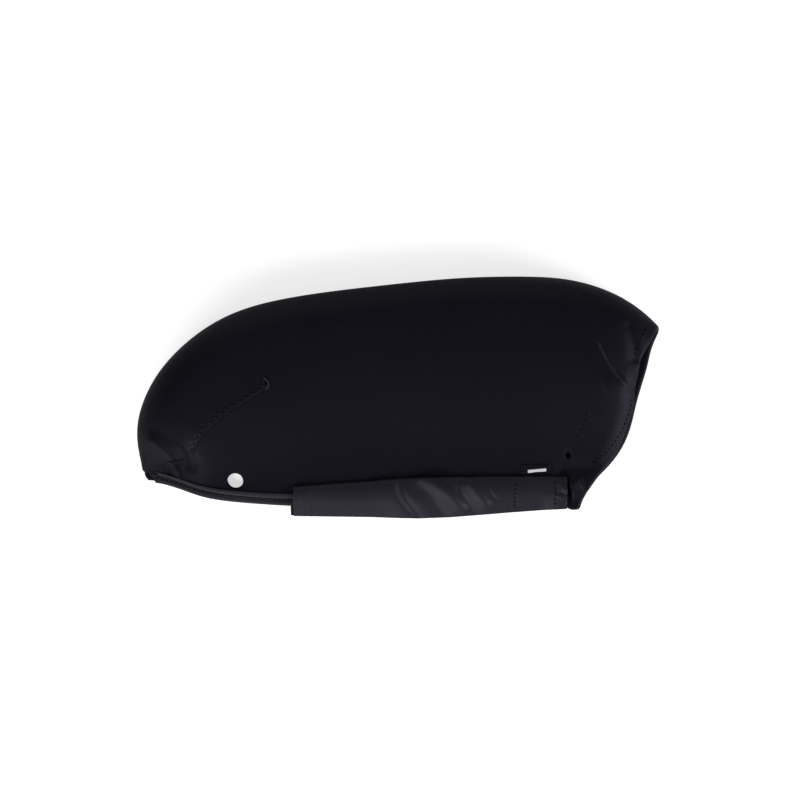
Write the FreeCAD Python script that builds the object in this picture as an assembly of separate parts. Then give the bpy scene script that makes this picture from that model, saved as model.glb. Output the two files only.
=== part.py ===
"""Neoprene handlebar mitt, lying on its back panel.

One sheet of lined neoprene is folded along a curved line, the fold, into a front and a back panel. Darts at
both ends give it its boat shape. The long edge opposite the fold is open: its left stretch is the mouth that
goes over the bar, and the rest is shut by a nylon flap with a hook patch. The short right end is the cuff for
the hand. The sheet is three solids: the back, the front with the fold, and the front's lip, which lifts.

Frame: millimetres, +X towards the cuff, +Y from the open edge to the fold, +Z up. The origin is the middle of
the footprint, on the surface that the mitt lies on.
"""

import FreeCAD, Part
import math
import os
from typing import NamedTuple

Vector = FreeCAD.Vector

# Driving dimensions, in millimetres
NEOPRENE = 3.2          # thickness of the lined neoprene
BED = -0.4              # the back panel is shaped this far below the floor, then cut flat at the floor
RIM_LIFT = 1.3          # the back panel's rim rises this much, to leave room for its binding
RIM_LIFT_START = 42.0   # and starts to rise this far inside its edge,
RIM_LIFT_REACH = 30.0   # over this length
FOLD_REACH_FRONT = 30.0 # how far the fold's roundness reaches into the front panel
FOLD_REACH_BACK = 15.0  # and into the back panel
CROWN_SHAPE = 1.5       # how long the front panel stays high before it falls to its edge
SPREAD = 0.3            # how much closer together the grid lines are near the fold
BOW_SCALE = 3125 / 108  # makes the bow's shape, share^3 (1 - share)^2, reach 1 at its highest
BACK_START = 5.0        # the back panel begins this far behind the fold
BINDING_WIDTH = 8.0
BINDING_SKIN = 0.7      # thickness of the binding tape
BINDING_GAP = 0.2       # air between the binding tape and the neoprene in it
SEAM_GAP = 0.12         # air between two layers of one body
BODY_GAP = 0.35         # air between two pieces that move apart

PIPING_WIDTH = 2.0      # the narrow tape on the front panel's edge
HEM_WIDTH = 8.0         # the cuff's turned-in hem
HEM_THICKNESS = 2.4

EYELET_RADIUS = 6.6     # the holes that go through both panels beside the mouth
FRONT_EYELET = (-136.0, -68.6)
BACK_EYELET = (-136.0, -67.6)
VENT_RADIUS = 3.3       # the small hole of the front panel beside the cuff
VENT = (140.3, -48.1)

# The front panel can be lifted beyond this line. It runs from the mouth's end to the cuff's rim.
LIP_START = Vector(-104.0, -76.0, 15.3)
LIP_END = Vector(203.0, 5.0, 33.5)

NYLON = 0.55            # one layer of the flap
FLAP_STAND = 1.9        # how far the flap's sewn edge stands off the front panel
PATCH_THICKNESS = 1.1   # hook or loop tape
SEAM_WIDTH = 6.0        # a dart's flat seam
SEAM_RISE = 0.7
THREAD = 0.3            # radius of a stitch
STITCH = 2.8            # length of a stitch
PITCH = 4.0             # from one stitch to the next


class Rib(NamedTuple):
    """One line across the sheet: where it meets the fold and both open edges, its bow, and its heights."""

    fold: tuple
    back: tuple
    front: tuple
    bow: float
    fold_height: float
    crown_height: float
    edge_height: float


# From the nose, along the body, to the cuff's rim. The last rib is the cuff's rim itself.
RIBS = [
    Rib((-214.4, -53.0), (-206.0, -68.6), (-209.0, -61.3), -0.8, 6.5, 13.5, 12.5),
    Rib((-217.3, -38.5), (-196.5, -70.6), (-198.0, -64.8), -1.0, 9.0, 23.0, 14.0),
    Rib((-216.6, -18.0), (-182.5, -74.0), (-183.0, -69.4), -0.5, 11.0, 30.0, 15.5),
    Rib((-208.0, 6.5), (-165.0, -79.4), (-166.0, -73.4), 0.0, 13.0, 36.0, 16.5),
    Rib((-189.5, 33.0), (-144.0, -82.8), (-145.0, -77.4), 0.0, 14.0, 38.5, 17.0),
    Rib((-158.5, 59.0), (-118.0, -85.0), (-118.0, -79.2), 0.0, 14.0, 39.0, 16.0),
    Rib((-118.0, 76.7), (-88.0, -86.8), (-88.0, -80.2), 0.0, 14.0, 38.0, 13.5),
    Rib((-65.0, 86.9), (-48.0, -88.0), (-48.0, -78.0), 0.0, 14.0, 36.0, 10.5),
    Rib((-10.0, 93.5), (-3.0, -89.0), (-1.0, -74.5), 0.0, 14.0, 34.5, 9.8),
    Rib((47.0, 98.9), (42.0, -89.2), (44.0, -73.5), 0.0, 14.0, 34.5, 9.8),
    Rib((97.0, 100.4), (80.0, -89.0), (83.0, -74.5), 1.0, 14.0, 36.0, 10.0),
    Rib((136.0, 98.5), (107.0, -88.6), (111.0, -77.0), 4.0, 14.0, 38.0, 10.5),
    Rib((168.0, 90.6), (125.0, -88.0), (129.0, -80.5), 8.0, 13.5, 39.0, 11.5),
    Rib((194.5, 77.2), (137.5, -87.6), (140.0, -86.5), 11.5, 12.0, 38.0, 13.5),
    Rib((217.4, 57.0), (147.0, -88.0), (148.0, -90.0), 14.0, 12.0, 33.0, 16.0),
]
LAST = len(RIBS) - 1


class Dart(NamedTuple):
    """A dart's seam on the front panel, from its point to the edge, and how deep it pulls the panel down."""

    path: list
    depths: list
    width: float


NOSE_DART = Dart(
    [(-109.0, 12.0), (-128.0, -1.0), (-149.0, -15.0), (-165.0, -31.5), (-173.5, -47.0), (-174.0, -72.0)],
    [0.0, 0.8, 1.6, 3.0, 4.2, 3.2],
    9.0,
)
CUFF_DART = Dart([(160.0, 50.0), (168.5, 31.0), (179.0, 18.0), (200.0, 11.0)], [0.0, 1.2, 2.2, 3.6], 7.0)


def curve(points):
    """A smooth curve whose value at 0, 1, 2 ... is each of the points."""
    line = Part.BSplineCurve()
    line.interpolate(Points=points, Parameters=[float(n) for n in range(len(points))])
    return line


FOLD = curve([Vector(*rib.fold, rib.fold_height) for rib in RIBS])
BACK = curve([Vector(*rib.back, rib.bow) for rib in RIBS])
FRONT = curve([Vector(*rib.front, rib.edge_height) for rib in RIBS])
CROWN = curve([Vector(n, rib.crown_height, 0) for n, rib in enumerate(RIBS)])


def smooth(share):
    """0 below 0, 1 above 1, and a soft step between."""
    share = max(0.0, min(1.0, share))
    return share * share * (3 - 2 * share)


def reach(rib, side):
    """Length in plan of a rib from the fold to the open edge, on the front (1) or back (-1) panel."""
    edge = (FRONT if side > 0 else BACK).value(rib)
    fold = FOLD.value(rib)
    return math.hypot(edge.x - fold.x, edge.y - fold.y)


def to_v(rib, side, distance):
    """The sheet's v at a distance from the fold: 0 on the fold, 1 on the front's edge, -1 on the back's."""
    share = distance / reach(rib, side)
    root = math.sqrt(share * share + 4 * (1 + SPREAD) * SPREAD * share)
    return side * (share + root) / (2 * (1 + SPREAD))


def dart_pull(x, y, dart):
    """How far a dart pulls the front panel down at a point in plan."""
    nearest, depth = 1e9, 0.0
    for n in range(len(dart.path) - 1):
        (ax, ay), (bx, by) = dart.path[n], dart.path[n + 1]
        share = ((x - ax) * (bx - ax) + (y - ay) * (by - ay)) / ((bx - ax) ** 2 + (by - ay) ** 2)
        share = max(0.0, min(1.0, share))
        away = math.hypot(x - ax - share * (bx - ax), y - ay - share * (by - ay))
        if away < nearest:
            nearest = away
            depth = dart.depths[n] + share * (dart.depths[n + 1] - dart.depths[n])
    return depth * math.exp(-((nearest / dart.width) ** 2))


def sheet_point(rib, v):
    """A point of the sheet's outer face. The fold is an elliptic round, and the front is crowned past it."""
    side = 1 if v >= 0 else -1
    fold, edge = FOLD.value(rib), (FRONT if side > 0 else BACK).value(rib)
    along = Vector(edge.x - fold.x, edge.y - fold.y, 0)
    length = along.Length
    along.normalize()
    share = v * v * (1 + SPREAD) / (abs(v) + SPREAD)
    distance = length * share
    bow = BACK.value(rib).z * BOW_SCALE * share**3 * (1 - share) ** 2
    place = Vector(fold.x, fold.y, 0) + along * distance + Vector(-along.y, along.x, 0) * bow
    rounding = min(FOLD_REACH_FRONT if side > 0 else FOLD_REACH_BACK, 0.8 * length)
    rise = math.sqrt(1 - (1 - min(distance / rounding, 1)) ** 2)
    if side > 0:
        edge_height = FRONT.value(rib).z
        fall = math.cos(math.pi / 2 * min(share, 1) ** CROWN_SHAPE) ** 2
        crown = edge_height + (CROWN.value(rib).y - edge_height) * fall
        height = fold.z + (crown - fold.z) * rise
        height -= dart_pull(place.x, place.y, NOSE_DART) + dart_pull(place.x, place.y, CUFF_DART)
    else:
        bed = BED + RIM_LIFT * smooth((distance - length + RIM_LIFT_START) / RIM_LIFT_REACH)
        height = fold.z + (bed - fold.z) * rise
    return Vector(place.x, place.y, height)


def offset_point(rib, v, offset):
    """A point that stands off the sheet's outer face, outwards where the offset is positive."""
    step = 0.01
    low, high = max(rib - step, 0), min(rib + step, LAST)
    along = sheet_point(high, v) - sheet_point(low, v)
    across = sheet_point(rib, v + step) - sheet_point(rib, v - step)
    outward = across.cross(along)
    outward.normalize()
    return sheet_point(rib, v) + outward * offset


def spread(start, end, count):
    """Evenly spaced values from start to end."""
    return [start + (end - start) * n / (count - 1) for n in range(count)]


def closed(outer, inner):
    """A solid between two grids of points: two smooth faces and the four ruled faces round them."""
    surfaces = []
    for grid in (outer, inner):
        surface = Part.BSplineSurface()
        surface.interpolate(grid)
        surfaces.append(surface)
    faces = [surface.toShape() for surface in surfaces]
    for end in (0, 1):
        rims = [surface.uIso(surface.bounds()[end]).toShape() for surface in surfaces]
        faces.append(Part.makeRuledSurface(*rims, 1))
        rims = [surface.vIso(surface.bounds()[2 + end]).toShape() for surface in surfaces]
        faces.append(Part.makeRuledSurface(*rims, 1))
    shell = Part.makeShell(faces)
    shell.sewShape()
    solid = Part.makeSolid(shell)
    if solid.isInside(Vector(0, 0, 9000), 0.001, True):
        solid.reverse()
    return solid


def strip(ribs, rows, outer, inner):
    """A solid layer of the sheet. rows gives a rib's v values; outer and inner are its faces' offsets."""
    return closed(
        [[offset_point(rib, v, outer) for v in rows(rib)] for rib in ribs],
        [[offset_point(rib, v, inner) for v in rows(rib)] for rib in ribs],
    )


def locate(x, y, side=1):
    """The rib and v of the point of the sheet that lies over a place in plan."""
    starts = [(n * 0.5, side * m * 0.1) for n in range(2 * LAST + 1) for m in range(1, 11)]
    target = Vector(x, y, 0)

    def miss(place):
        point = sheet_point(*place)
        return Vector(point.x, point.y, 0) - target

    rib, v = min(starts, key=lambda place: miss(place).Length)
    for _ in range(12):
        gap = miss((rib, v))
        by_rib = (miss((rib + 1e-3, v)) - miss((rib - 1e-3, v))) * 500
        by_v = (miss((rib, v + 1e-3)) - miss((rib, v - 1e-3))) * 500
        turn = by_rib.x * by_v.y - by_rib.y * by_v.x
        rib = max(0.0, min(float(LAST), rib - (gap.x * by_v.y - gap.y * by_v.x) / turn))
        v -= (by_rib.x * gap.y - by_rib.y * gap.x) / turn
    return rib, v


def above(x, y, offset, side=1):
    """The point that stands off the sheet over a place in plan."""
    return offset_point(*locate(x, y, side), offset)


def patch(grid, low, high, side=1):
    """A solid layer on the sheet, over a grid of places in plan."""
    return closed(
        [[above(x, y, high, side) for x, y in row] for row in grid],
        [[above(x, y, low, side) for x, y in row] for row in grid],
    )


def ribbon(path, half_width, count, low, high):
    """A patch of constant width along a path."""
    line = curve([Vector(*place, 0) for place in path])
    places = spread(-half_width, half_width, 5)
    grid = []
    for share in spread(0, len(path) - 1, count):
        middle, heading = line.value(share), line.tangent(share)[0]
        grid.append([(middle.x - heading.y * w, middle.y + heading.x * w) for w in places])
    return patch(grid, low, high)


def rectangle(middle, length, width, heading, columns, rows):
    """A grid of places in plan, length along the heading in degrees."""
    c, s = math.cos(math.radians(heading)), math.sin(math.radians(heading))
    return [
        [(middle[0] + c * a - s * b, middle[1] + s * a + c * b) for b in spread(-width / 2, width / 2, rows)]
        for a in spread(-length / 2, length / 2, columns)
    ]


def bound_edge(start, end, side, width, count):
    """A tape folded round an open edge of the sheet, between two ribs, with a round bend past the edge."""
    middle = -NEOPRENE / 2
    flat = spread(width, 1.0, round(width) + 1)

    def section(radius):
        """The tape's section: how far inside the edge, and how far off the sheet's outer face."""
        bend = [(-radius * math.sin(a), middle + radius * math.cos(a)) for a in spread(0, math.pi, 7)]
        return [(d, middle + radius) for d in flat] + bend + [(d, middle - radius) for d in reversed(flat)]

    def line(rib, radius):
        """The section's points at a rib."""
        length = reach(rib, side)
        places = section(radius)
        return [offset_point(rib, to_v(rib, side, length - inset), offset) for inset, offset in places]

    def grid(radius):
        return [line(rib, radius) for rib in spread(start, end, count)]

    slack = NEOPRENE / 2 + BINDING_GAP
    return closed(grid(slack + BINDING_SKIN), grid(slack))


def cuff_band(start, end, width, outer, inner, count=71):
    """A layer along the cuff's rim, of constant width, between two v values."""
    def grid(offset):
        rows = []
        for n in range(5):
            row = []
            for v in spread(start, end, count):
                per_rib = (sheet_point(LAST, v) - sheet_point(LAST - 0.2, v)).Length * 5
                row.append(offset_point(LAST - width / per_rib * (4 - n) / 4, v, offset))
            rows.append(row)
        return rows

    return closed(grid(outer), grid(inner))


def biggest(shape):
    """The largest solid of a cut."""
    return max(shape.Solids, key=lambda solid: solid.Volume)


def lip_region(floor, gap):
    """Everything in front of the lip's line and above a height. gap shifts the line towards the lip."""
    along = Vector(LIP_END.x - LIP_START.x, LIP_END.y - LIP_START.y, 0)
    along.normalize()
    across = Vector(along.y, -along.x, 0)
    near = Vector(LIP_START.x, LIP_START.y, floor) - along * 2.5 + (along + across) * gap
    far = Vector(LIP_END.x, LIP_END.y, floor) + along * 60 + across * gap
    corners = [near, far, far + across * 120, near + across * 120, near]
    return Part.Face(Part.makePolygon(corners)).extrude(Vector(0, 0, 60))


def drill(place, radius, low, high):
    """A round hole's cutter."""
    return Part.makeCylinder(radius, high - low, Vector(*place, low))


FLAP_TOP = [
    (-88.8, -72.6), (-57.0, -70.0), (-24.0, -67.8), (-7.5, -66.4), (25.7, -65.0), (59.0, -64.5),
    (88.0, -64.2), (121.0, -64.0), (139.4, -64.6),
]
FLAP_BOTTOM = [
    (-88.8, -97.8), (-57.0, -98.6), (-24.0, -99.2), (-3.0, -100.2), (16.0, -100.8), (42.0, -99.6),
    (67.0, -97.8), (92.0, -95.7), (118.0, -93.8), (139.4, -92.4),
]
FLAP_LEFT, FLAP_RIGHT = FLAP_TOP[0][0], FLAP_TOP[-1][0]


def on_line(places, x):
    """The y at an x of the straight runs between places."""
    for (ax, ay), (bx, by) in zip(places, places[1:]):
        if x <= bx:
            break
    return ay + (by - ay) * (x - ax) / (bx - ax)


def flap_point(x, share, offset):
    """A point of the flap's lower face: share is 0 at the sewn edge and 1 at the free edge."""
    top, bottom = on_line(FLAP_TOP, x), on_line(FLAP_BOTTOM, x)
    y = top + (bottom - top) * share
    inner_x = max(FLAP_LEFT, min(FLAP_RIGHT, x))
    high = above(inner_x, top, 0).z + FLAP_STAND
    low = 2.0 + 6.0 * smooth((x - 30) / 60) + 7.0 * smooth((x - 105) / 33)
    height = high + (low - high) * share ** 2.0 + 1.2 * math.sin(math.pi * share) ** 2
    return Vector(x, y, height + offset)


def flap_layer(left, right, top, bottom, low, high, columns=17, rows=9):
    """A layer of the flap between two x values and two shares."""
    def grid(offset):
        shares = spread(top, bottom, rows)
        return [[flap_point(x, share, offset) for share in shares] for x in spread(left, right, columns)]

    return closed(grid(high), grid(low))


def stitch(place, heading):
    """One stitch: a short round rod, centred on a point."""
    heading.normalize()
    return Part.makeCylinder(THREAD, STITCH, place - heading * (STITCH / 2), heading)


def stitches_on_sheet(path, pitch, offset=THREAD + 0.15):
    """A row of stitches on the front panel along a path in plan."""
    line = curve([Vector(*place, 0) for place in path])
    end = len(path) - 1
    places = [line.value(share) for share in spread(0, end, 60)]
    length = sum((b - a).Length for a, b in zip(places, places[1:]))
    rods = []
    for share in spread(0, end, max(2, round(length / pitch))):
        heading = line.tangent(share)[0]
        middle = line.value(share)
        ends = [above(middle.x + heading.x * side, middle.y + heading.y * side, offset) for side in (-1, 1)]
        rods.append(stitch((ends[0] + ends[1]) * 0.5, ends[1] - ends[0]))
    return Part.makeCompound(rods)


def save(name, shape):
    """Writes one node and prints its volume."""
    shape.exportStep(f"parts/{name}.step")
    print(f"{name:24s} {shape.Volume / 1000:8.2f} cm3  valid {shape.isValid()}  solids {len(shape.Solids)}")


def panels():
    """The folded sheet: the back, and the front cut along the lip's line, with their holes."""
    below_floor = Part.makeBox(600, 600, 20, Vector(-300, -300, -20))
    ribs = spread(0, LAST, 58)
    back = strip(ribs, lambda rib: spread(-1, to_v(rib, -1, BACK_START + SEAM_GAP), 30), 0, -NEOPRENE)
    front = strip(ribs, lambda rib: spread(to_v(rib, -1, BACK_START), 1, 36), 0, -NEOPRENE).cut(below_floor)
    lip = front.common(lip_region(5.4, BODY_GAP))
    return {
        "back_panel": back.cut(below_floor).cut(drill(BACK_EYELET, EYELET_RADIUS, -5, 6)),
        "front_panel": front.cut(lip_region(5.4, 0)).cut(drill(FRONT_EYELET, EYELET_RADIUS, 6, 60)),
        "front_lip": lip.cut(drill(VENT, VENT_RADIUS, 6, 60)),
    }


def edges():
    """The tapes round the mouth and the cuff's hem."""
    hem_top = -NEOPRENE - 2 * SEAM_GAP
    hem = cuff_band(-0.95, 0.97, HEM_WIDTH, hem_top, hem_top - HEM_THICKNESS)
    return {
        "back_mouth_binding": bound_edge(1.0, 13.0, -1, BINDING_WIDTH, 46),
        "front_mouth_piping": bound_edge(0.8, 5.3, 1, PIPING_WIDTH, 24),
        "cuff_hem": biggest(hem.cut(lip_region(7.2, 0))),
        "lip_hem": biggest(hem.common(lip_region(7.2, BODY_GAP))),
    }


def seams():
    """The darts' flat seams, the label and the small tab behind the front panel."""
    tab = rectangle((151.0, -23.5), 21.0, 7.0, 69.0, 7, 4)
    low, half = 2 * SEAM_GAP, SEAM_WIDTH / 2
    return {
        "nose_dart_seam": ribbon(NOSE_DART.path[:5], half, 24, low, low + SEAM_RISE),
        "cuff_dart_seam": ribbon(CUFF_DART.path[:3], half, 14, low, low + SEAM_RISE),
        "woven_label": patch(rectangle((113.3, -59.1), 24.0, 7.2, 1.0, 9, 4), SEAM_GAP, SEAM_GAP + 0.6),
        "inner_tab": patch(tab, -NEOPRENE - SEAM_GAP - 1.2, -NEOPRENE - SEAM_GAP),
    }


def flap():
    """The nylon flap: two layers, its hook patch, and the loop patch it closes onto."""
    places = spread(FLAP_LEFT + 12, FLAP_RIGHT - 1, 24)
    seam = [[(x, on_line(FLAP_TOP, x) - down) for down in spread(1.0, 6.0, 4)] for x in places]
    loop = [[(x, y) for y in spread(-89.0, -64.0, 15)] for x in spread(94.0, 124.0, 9)]
    layer = NYLON + 0.2
    on_binding = -NEOPRENE - BINDING_SKIN - 2 * SEAM_GAP
    return {
        "flap_seam": patch(seam, SEAM_GAP, SEAM_GAP + 0.8),
        "closure_flap": flap_layer(FLAP_LEFT, FLAP_RIGHT, 0, 1, layer, layer + NYLON, 33),
        "flap_lining": flap_layer(FLAP_LEFT - 1.2, FLAP_RIGHT - 2, 0.03, 0.975, 0, NYLON, 33),
        "hook_patch": flap_layer(98, 126, 0.60, 0.88, -SEAM_GAP - PATCH_THICKNESS, -SEAM_GAP, 9, 5),
        "loop_patch": patch(loop, on_binding - PATCH_THICKNESS, on_binding, -1),
    }


def threads():
    """The rows of stitches that show."""
    rim = [(192.6, -4.5), (190.8, -14.0), (187.0, -25.0), (181.5, -38.0), (174.5, -49.5), (164.0, -60.5)]
    columns = []
    for x in (96.3, 130.0):
        for share in spread(0.2, 0.86, 6):
            place = flap_point(x, share, 2 * NYLON + 0.2 + THREAD + 0.15)
            columns.append(stitch(place, flap_point(x, share + 0.02, 0) - flap_point(x, share - 0.02, 0)))
    return {
        "hem_stitches": stitches_on_sheet(rim + [(157.0, -68.0)], PITCH),
        "tab_stitches": stitches_on_sheet([(155.2, -13.0), (151.8, -22.0), (148.0, -31.0)], PITCH),
        "flap_stitches": Part.makeCompound(columns),
    }


def main():
    os.makedirs("parts", exist_ok=True)
    for group in (panels, edges, seams, flap, threads):
        for name, shape in group().items():
            save(name, shape)


main()
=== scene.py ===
"""Dressed model of a neoprene handlebar mitt that lies on its back panel.

The cloth is worked out in millimetres and put into the meshes in metres. +X runs along the mitt towards the
cuff, +Y from the open edge to the fold, and +Z up from the back panel to the front.
"""

import enum
import logging
import math
from collections.abc import Callable
from dataclasses import dataclass

import bpy
import numpy as np
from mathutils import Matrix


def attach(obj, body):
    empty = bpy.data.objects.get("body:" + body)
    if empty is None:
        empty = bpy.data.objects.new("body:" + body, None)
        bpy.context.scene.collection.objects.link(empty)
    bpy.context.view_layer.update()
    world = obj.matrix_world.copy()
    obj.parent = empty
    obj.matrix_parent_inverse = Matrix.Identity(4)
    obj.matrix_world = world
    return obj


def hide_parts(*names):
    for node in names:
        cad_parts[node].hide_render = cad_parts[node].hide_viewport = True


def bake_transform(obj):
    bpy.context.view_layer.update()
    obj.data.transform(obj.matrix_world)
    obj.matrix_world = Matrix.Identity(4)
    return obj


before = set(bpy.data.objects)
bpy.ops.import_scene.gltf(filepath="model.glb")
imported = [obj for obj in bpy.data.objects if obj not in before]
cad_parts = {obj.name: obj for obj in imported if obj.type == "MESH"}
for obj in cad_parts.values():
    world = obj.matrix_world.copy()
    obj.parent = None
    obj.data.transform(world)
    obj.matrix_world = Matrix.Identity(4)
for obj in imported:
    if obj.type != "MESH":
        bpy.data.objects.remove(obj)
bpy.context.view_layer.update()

LOG = logging.getLogger("mitt")
MM = 0.001
# No point of the cloth lies lower than this, in millimetres
FLOOR_GAP = 0.02
Array = np.ndarray
Object = bpy.types.Object
NodeTree = bpy.types.NodeTree
Socket = bpy.types.NodeSocket
# A place in plan, a route of such places, and a pair of limits or sizes
Place = tuple[float, float]
Path = tuple[Place, ...]
Span = tuple[float, float]


# ---------------------------------------------------------------------------- small geometry


# Weights that give the slope at the end of a curve through its last 2, 3 or 4 points
END_STENCILS = {2: (-1.0, 1.0), 3: (-1.5, 2.0, -0.5), 4: (-11 / 6, 3.0, -1.5, 1 / 3)}


def lengths(points: Array) -> Array:
    """Length along a run of points up to each of them."""
    return np.concatenate([[0.0], np.cumsum(np.linalg.norm(np.diff(points, axis=0), axis=1))])


def at_lengths(points: Array, wanted: Array) -> Array:
    """Places on a run of straight pieces at lengths along it."""
    known = lengths(points)
    return np.stack([np.interp(wanted, known, column) for column in points.T], axis=1)


class UnitSpline:
    """Smooth cubic curve through a run of points that lie one unit of parameter apart."""

    def __init__(self, points: Array) -> None:
        """Works out the slopes once.

        Args:
            points: count x dimension array of the points.
        """
        self.points = np.asarray(points, float)
        self.last = len(self.points) - 1
        self.slopes = self._slopes()

    def _slopes(self) -> Array:
        """Slopes that make the curvature continuous; an end's is that of a curve through its last few points."""
        points, count = self.points, len(self.points)
        matrix, right = np.eye(count), np.empty_like(points)
        stencil = np.array(END_STENCILS[min(count, 4)])
        right[0] = stencil @ points[: len(stencil)]
        right[-1] = -(stencil @ points[::-1][: len(stencil)])
        inner = np.arange(1, count - 1)
        matrix[inner, inner - 1] = 1.0
        matrix[inner, inner] = 4.0
        matrix[inner, inner + 1] = 1.0
        right[1:-1] = 3.0 * (points[2:] - points[:-2])
        return np.linalg.solve(matrix, right)

    def at(self, place: Array) -> Array:
        """Points of the curve: on each unit a cubic blend of the two end points and the two end slopes."""
        place = np.asarray(place, float)
        low = np.clip(np.floor(place).astype(int), 0, self.last - 1)
        s = (place - low)[..., None]
        return (
            (2 * s**3 - 3 * s**2 + 1) * self.points[low]
            + (s**3 - 2 * s**2 + s) * self.slopes[low]
            + (3 * s**2 - 2 * s**3) * self.points[low + 1]
            + (s**3 - s**2) * self.slopes[low + 1]
        )

    def even(self, spacing: float) -> Array:
        """Points along the curve, evenly spaced by about a distance, both ends included."""
        fine = self.at(np.linspace(0, self.last, 40 * self.last + 1))
        total = lengths(fine)[-1]
        return at_lengths(fine, np.linspace(0, total, max(2, round(total / spacing) + 1)))


def unit(vectors: Array) -> Array:
    """Vectors scaled to length 1 along the last axis."""
    return vectors / np.maximum(np.linalg.norm(vectors, axis=-1, keepdims=True), 1e-9)


def route_and_left(path: Path, spacing: float) -> tuple[Array, Array]:
    """Evenly spaced points along a smooth route in plan, and the unit vectors that point to its left."""
    line = UnitSpline(path).even(spacing)
    run = unit(np.gradient(line, axis=0))
    return line, np.stack([-run[:, 1], run[:, 0]], axis=1)


def smooth(share: Array) -> Array:
    """0 below 0, 1 above 1, and a soft step between: 3s^2 - 2s^3."""
    share = np.clip(share, 0.0, 1.0)
    return share * share * (3 - 2 * share)


def bump(distance: Array, width: float) -> Array:
    """A soft hill that is 1 at distance 0 and falls off over a width: exp(-(d/w)^2)."""
    return np.exp(-((distance / width) ** 2))


def above_floor(points: Array) -> Array:
    """The points, with those that are too low raised to just above the floor."""
    return np.concatenate([points[..., :2], np.maximum(points[..., 2:], FLOOR_GAP)], axis=-1)


def near_path(x: Array, y: Array, path: Array) -> tuple[Array, Array, Array]:
    """Nearest place on a run of straight pieces.

    Args:
        x: x of the points asked for, any shape.
        y: y of the points, the same shape.
        path: count x 2 array of the run's points.

    Returns:
        The distance, the length along the run of the nearest place, and the side: above 0 is left of the run.
    """
    path = np.asarray(path, float)
    best = np.full(np.shape(x), 1e9)
    along, side = np.zeros(np.shape(x)), np.zeros(np.shape(x))
    start = 0.0
    for a, b in zip(path[:-1], path[1:]):
        run = b - a
        length = float(np.hypot(*run))
        share = np.clip(((x - a[0]) * run[0] + (y - a[1]) * run[1]) / length**2, 0, 1)
        dx, dy = x - a[0] - share * run[0], y - a[1] - share * run[1]
        distance = np.hypot(dx, dy)
        closer = distance < best
        best = np.where(closer, distance, best)
        along = np.where(closer, start + share * length, along)
        side = np.where(closer, run[0] * dy - run[1] * dx, side)
        start += length
    return best, along, side


# ---------------------------------------------------------------------------- the folded sheet


@dataclass(frozen=True)
class Rib:
    """One line across the sheet: its places on the fold and both open edges, its bow, and three heights."""

    fold: Place
    back: Place
    front: Place
    bow: float
    fold_height: float
    crown_height: float
    edge_height: float


@dataclass(frozen=True)
class Dart:
    """A dart's seam: its route on the front panel, how deep it pulls the panel down, and how wide."""

    path: Path
    depths: tuple[float, ...]
    width: float


@dataclass(frozen=True)
class Crease:
    """A soft ridge, or a valley where the height is negative, along a route on a cloth."""

    path: Path
    height: float
    width: float
    left_width: float = 0.0
    ripple: float = 0.0
    ripple_length: float = 6.0
    taper: float = 0.15

    def relief(self, x: Array, y: Array) -> Array:
        """Its height times a soft hill across the route.

        The hill may be steeper on the left of the route, it fades in and out over a share of the route at
        each end, and a sine along the route puckers it.
        """
        route = UnitSpline(self.path).even(1.5) if len(self.path) > 2 else np.asarray(self.path)
        distance, along, side = near_path(x, y, route)
        total = lengths(route)[-1]
        fade, start = self.taper * total, 0.15
        ends = smooth(along / fade + start) * smooth((total - along) / fade + start)
        wave = self.height + self.ripple * np.sin(2 * math.pi * along / self.ripple_length)
        width = np.where(side > 0, self.left_width or self.width, self.width)
        return wave * ends * bump(distance, width)


RIBS = (
    Rib((-213.9, -57.0), (-208.8, -68.6), (-210.0, -62.5), -0.8, 6.5, 13.5, 12.5),
    Rib((-217.3, -38.5), (-197.5, -70.2), (-198.0, -63.2), -1.0, 9.0, 23.0, 14.0),
    Rib((-216.6, -18.0), (-182.5, -74.8), (-183.0, -68.2), -0.5, 11.0, 30.0, 15.5),
    Rib((-208.0, 6.5), (-165.0, -80.6), (-166.0, -73.8), 0.0, 13.0, 36.0, 16.5),
    Rib((-189.5, 33.0), (-144.0, -84.2), (-145.0, -78.0), 0.0, 14.0, 38.5, 17.0),
    Rib((-158.5, 59.0), (-118.0, -86.4), (-118.0, -80.4), 0.0, 14.0, 39.0, 16.0),
    Rib((-118.0, 76.7), (-88.0, -88.0), (-88.0, -81.4), 0.0, 14.0, 38.0, 13.5),
    Rib((-65.0, 86.9), (-48.0, -88.8), (-48.0, -78.6), 0.0, 14.0, 36.0, 10.5),
    Rib((-10.0, 93.5), (-3.0, -89.0), (-1.0, -74.5), 0.0, 14.0, 34.5, 9.8),
    Rib((47.0, 98.9), (42.0, -89.2), (44.0, -73.5), 0.0, 14.0, 34.5, 9.8),
    Rib((97.0, 100.4), (80.0, -89.0), (83.0, -74.5), 1.0, 14.0, 36.0, 10.0),
    Rib((136.0, 98.5), (107.0, -88.6), (111.0, -77.0), 4.0, 14.0, 38.0, 10.5),
    Rib((168.0, 90.6), (125.0, -88.0), (129.0, -83.0), 8.0, 13.5, 39.0, 10.0),
    Rib((194.5, 77.2), (137.5, -87.6), (140.0, -91.4), 11.5, 12.0, 38.0, 10.0),
    Rib((217.4, 57.0), (147.0, -88.0), (148.4, -90.4), 14.0, 12.0, 33.0, 12.0),
)

NOSE_DART = Dart(
    ((-109.0, 12.0), (-128.0, -1.0), (-149.0, -15.0), (-165.0, -31.5), (-173.5, -47.0), (-174.0, -72.0)),
    (0.0, -0.7, -1.2, -0.8, 1.4, 3.0),
    10.0,
)
CUFF_DART = Dart(((160.0, 52.0), (172.0, 32.0), (184.0, 19.0), (200.0, 8.0)), (0.0, 1.0, 1.6, 1.8), 7.0)


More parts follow.
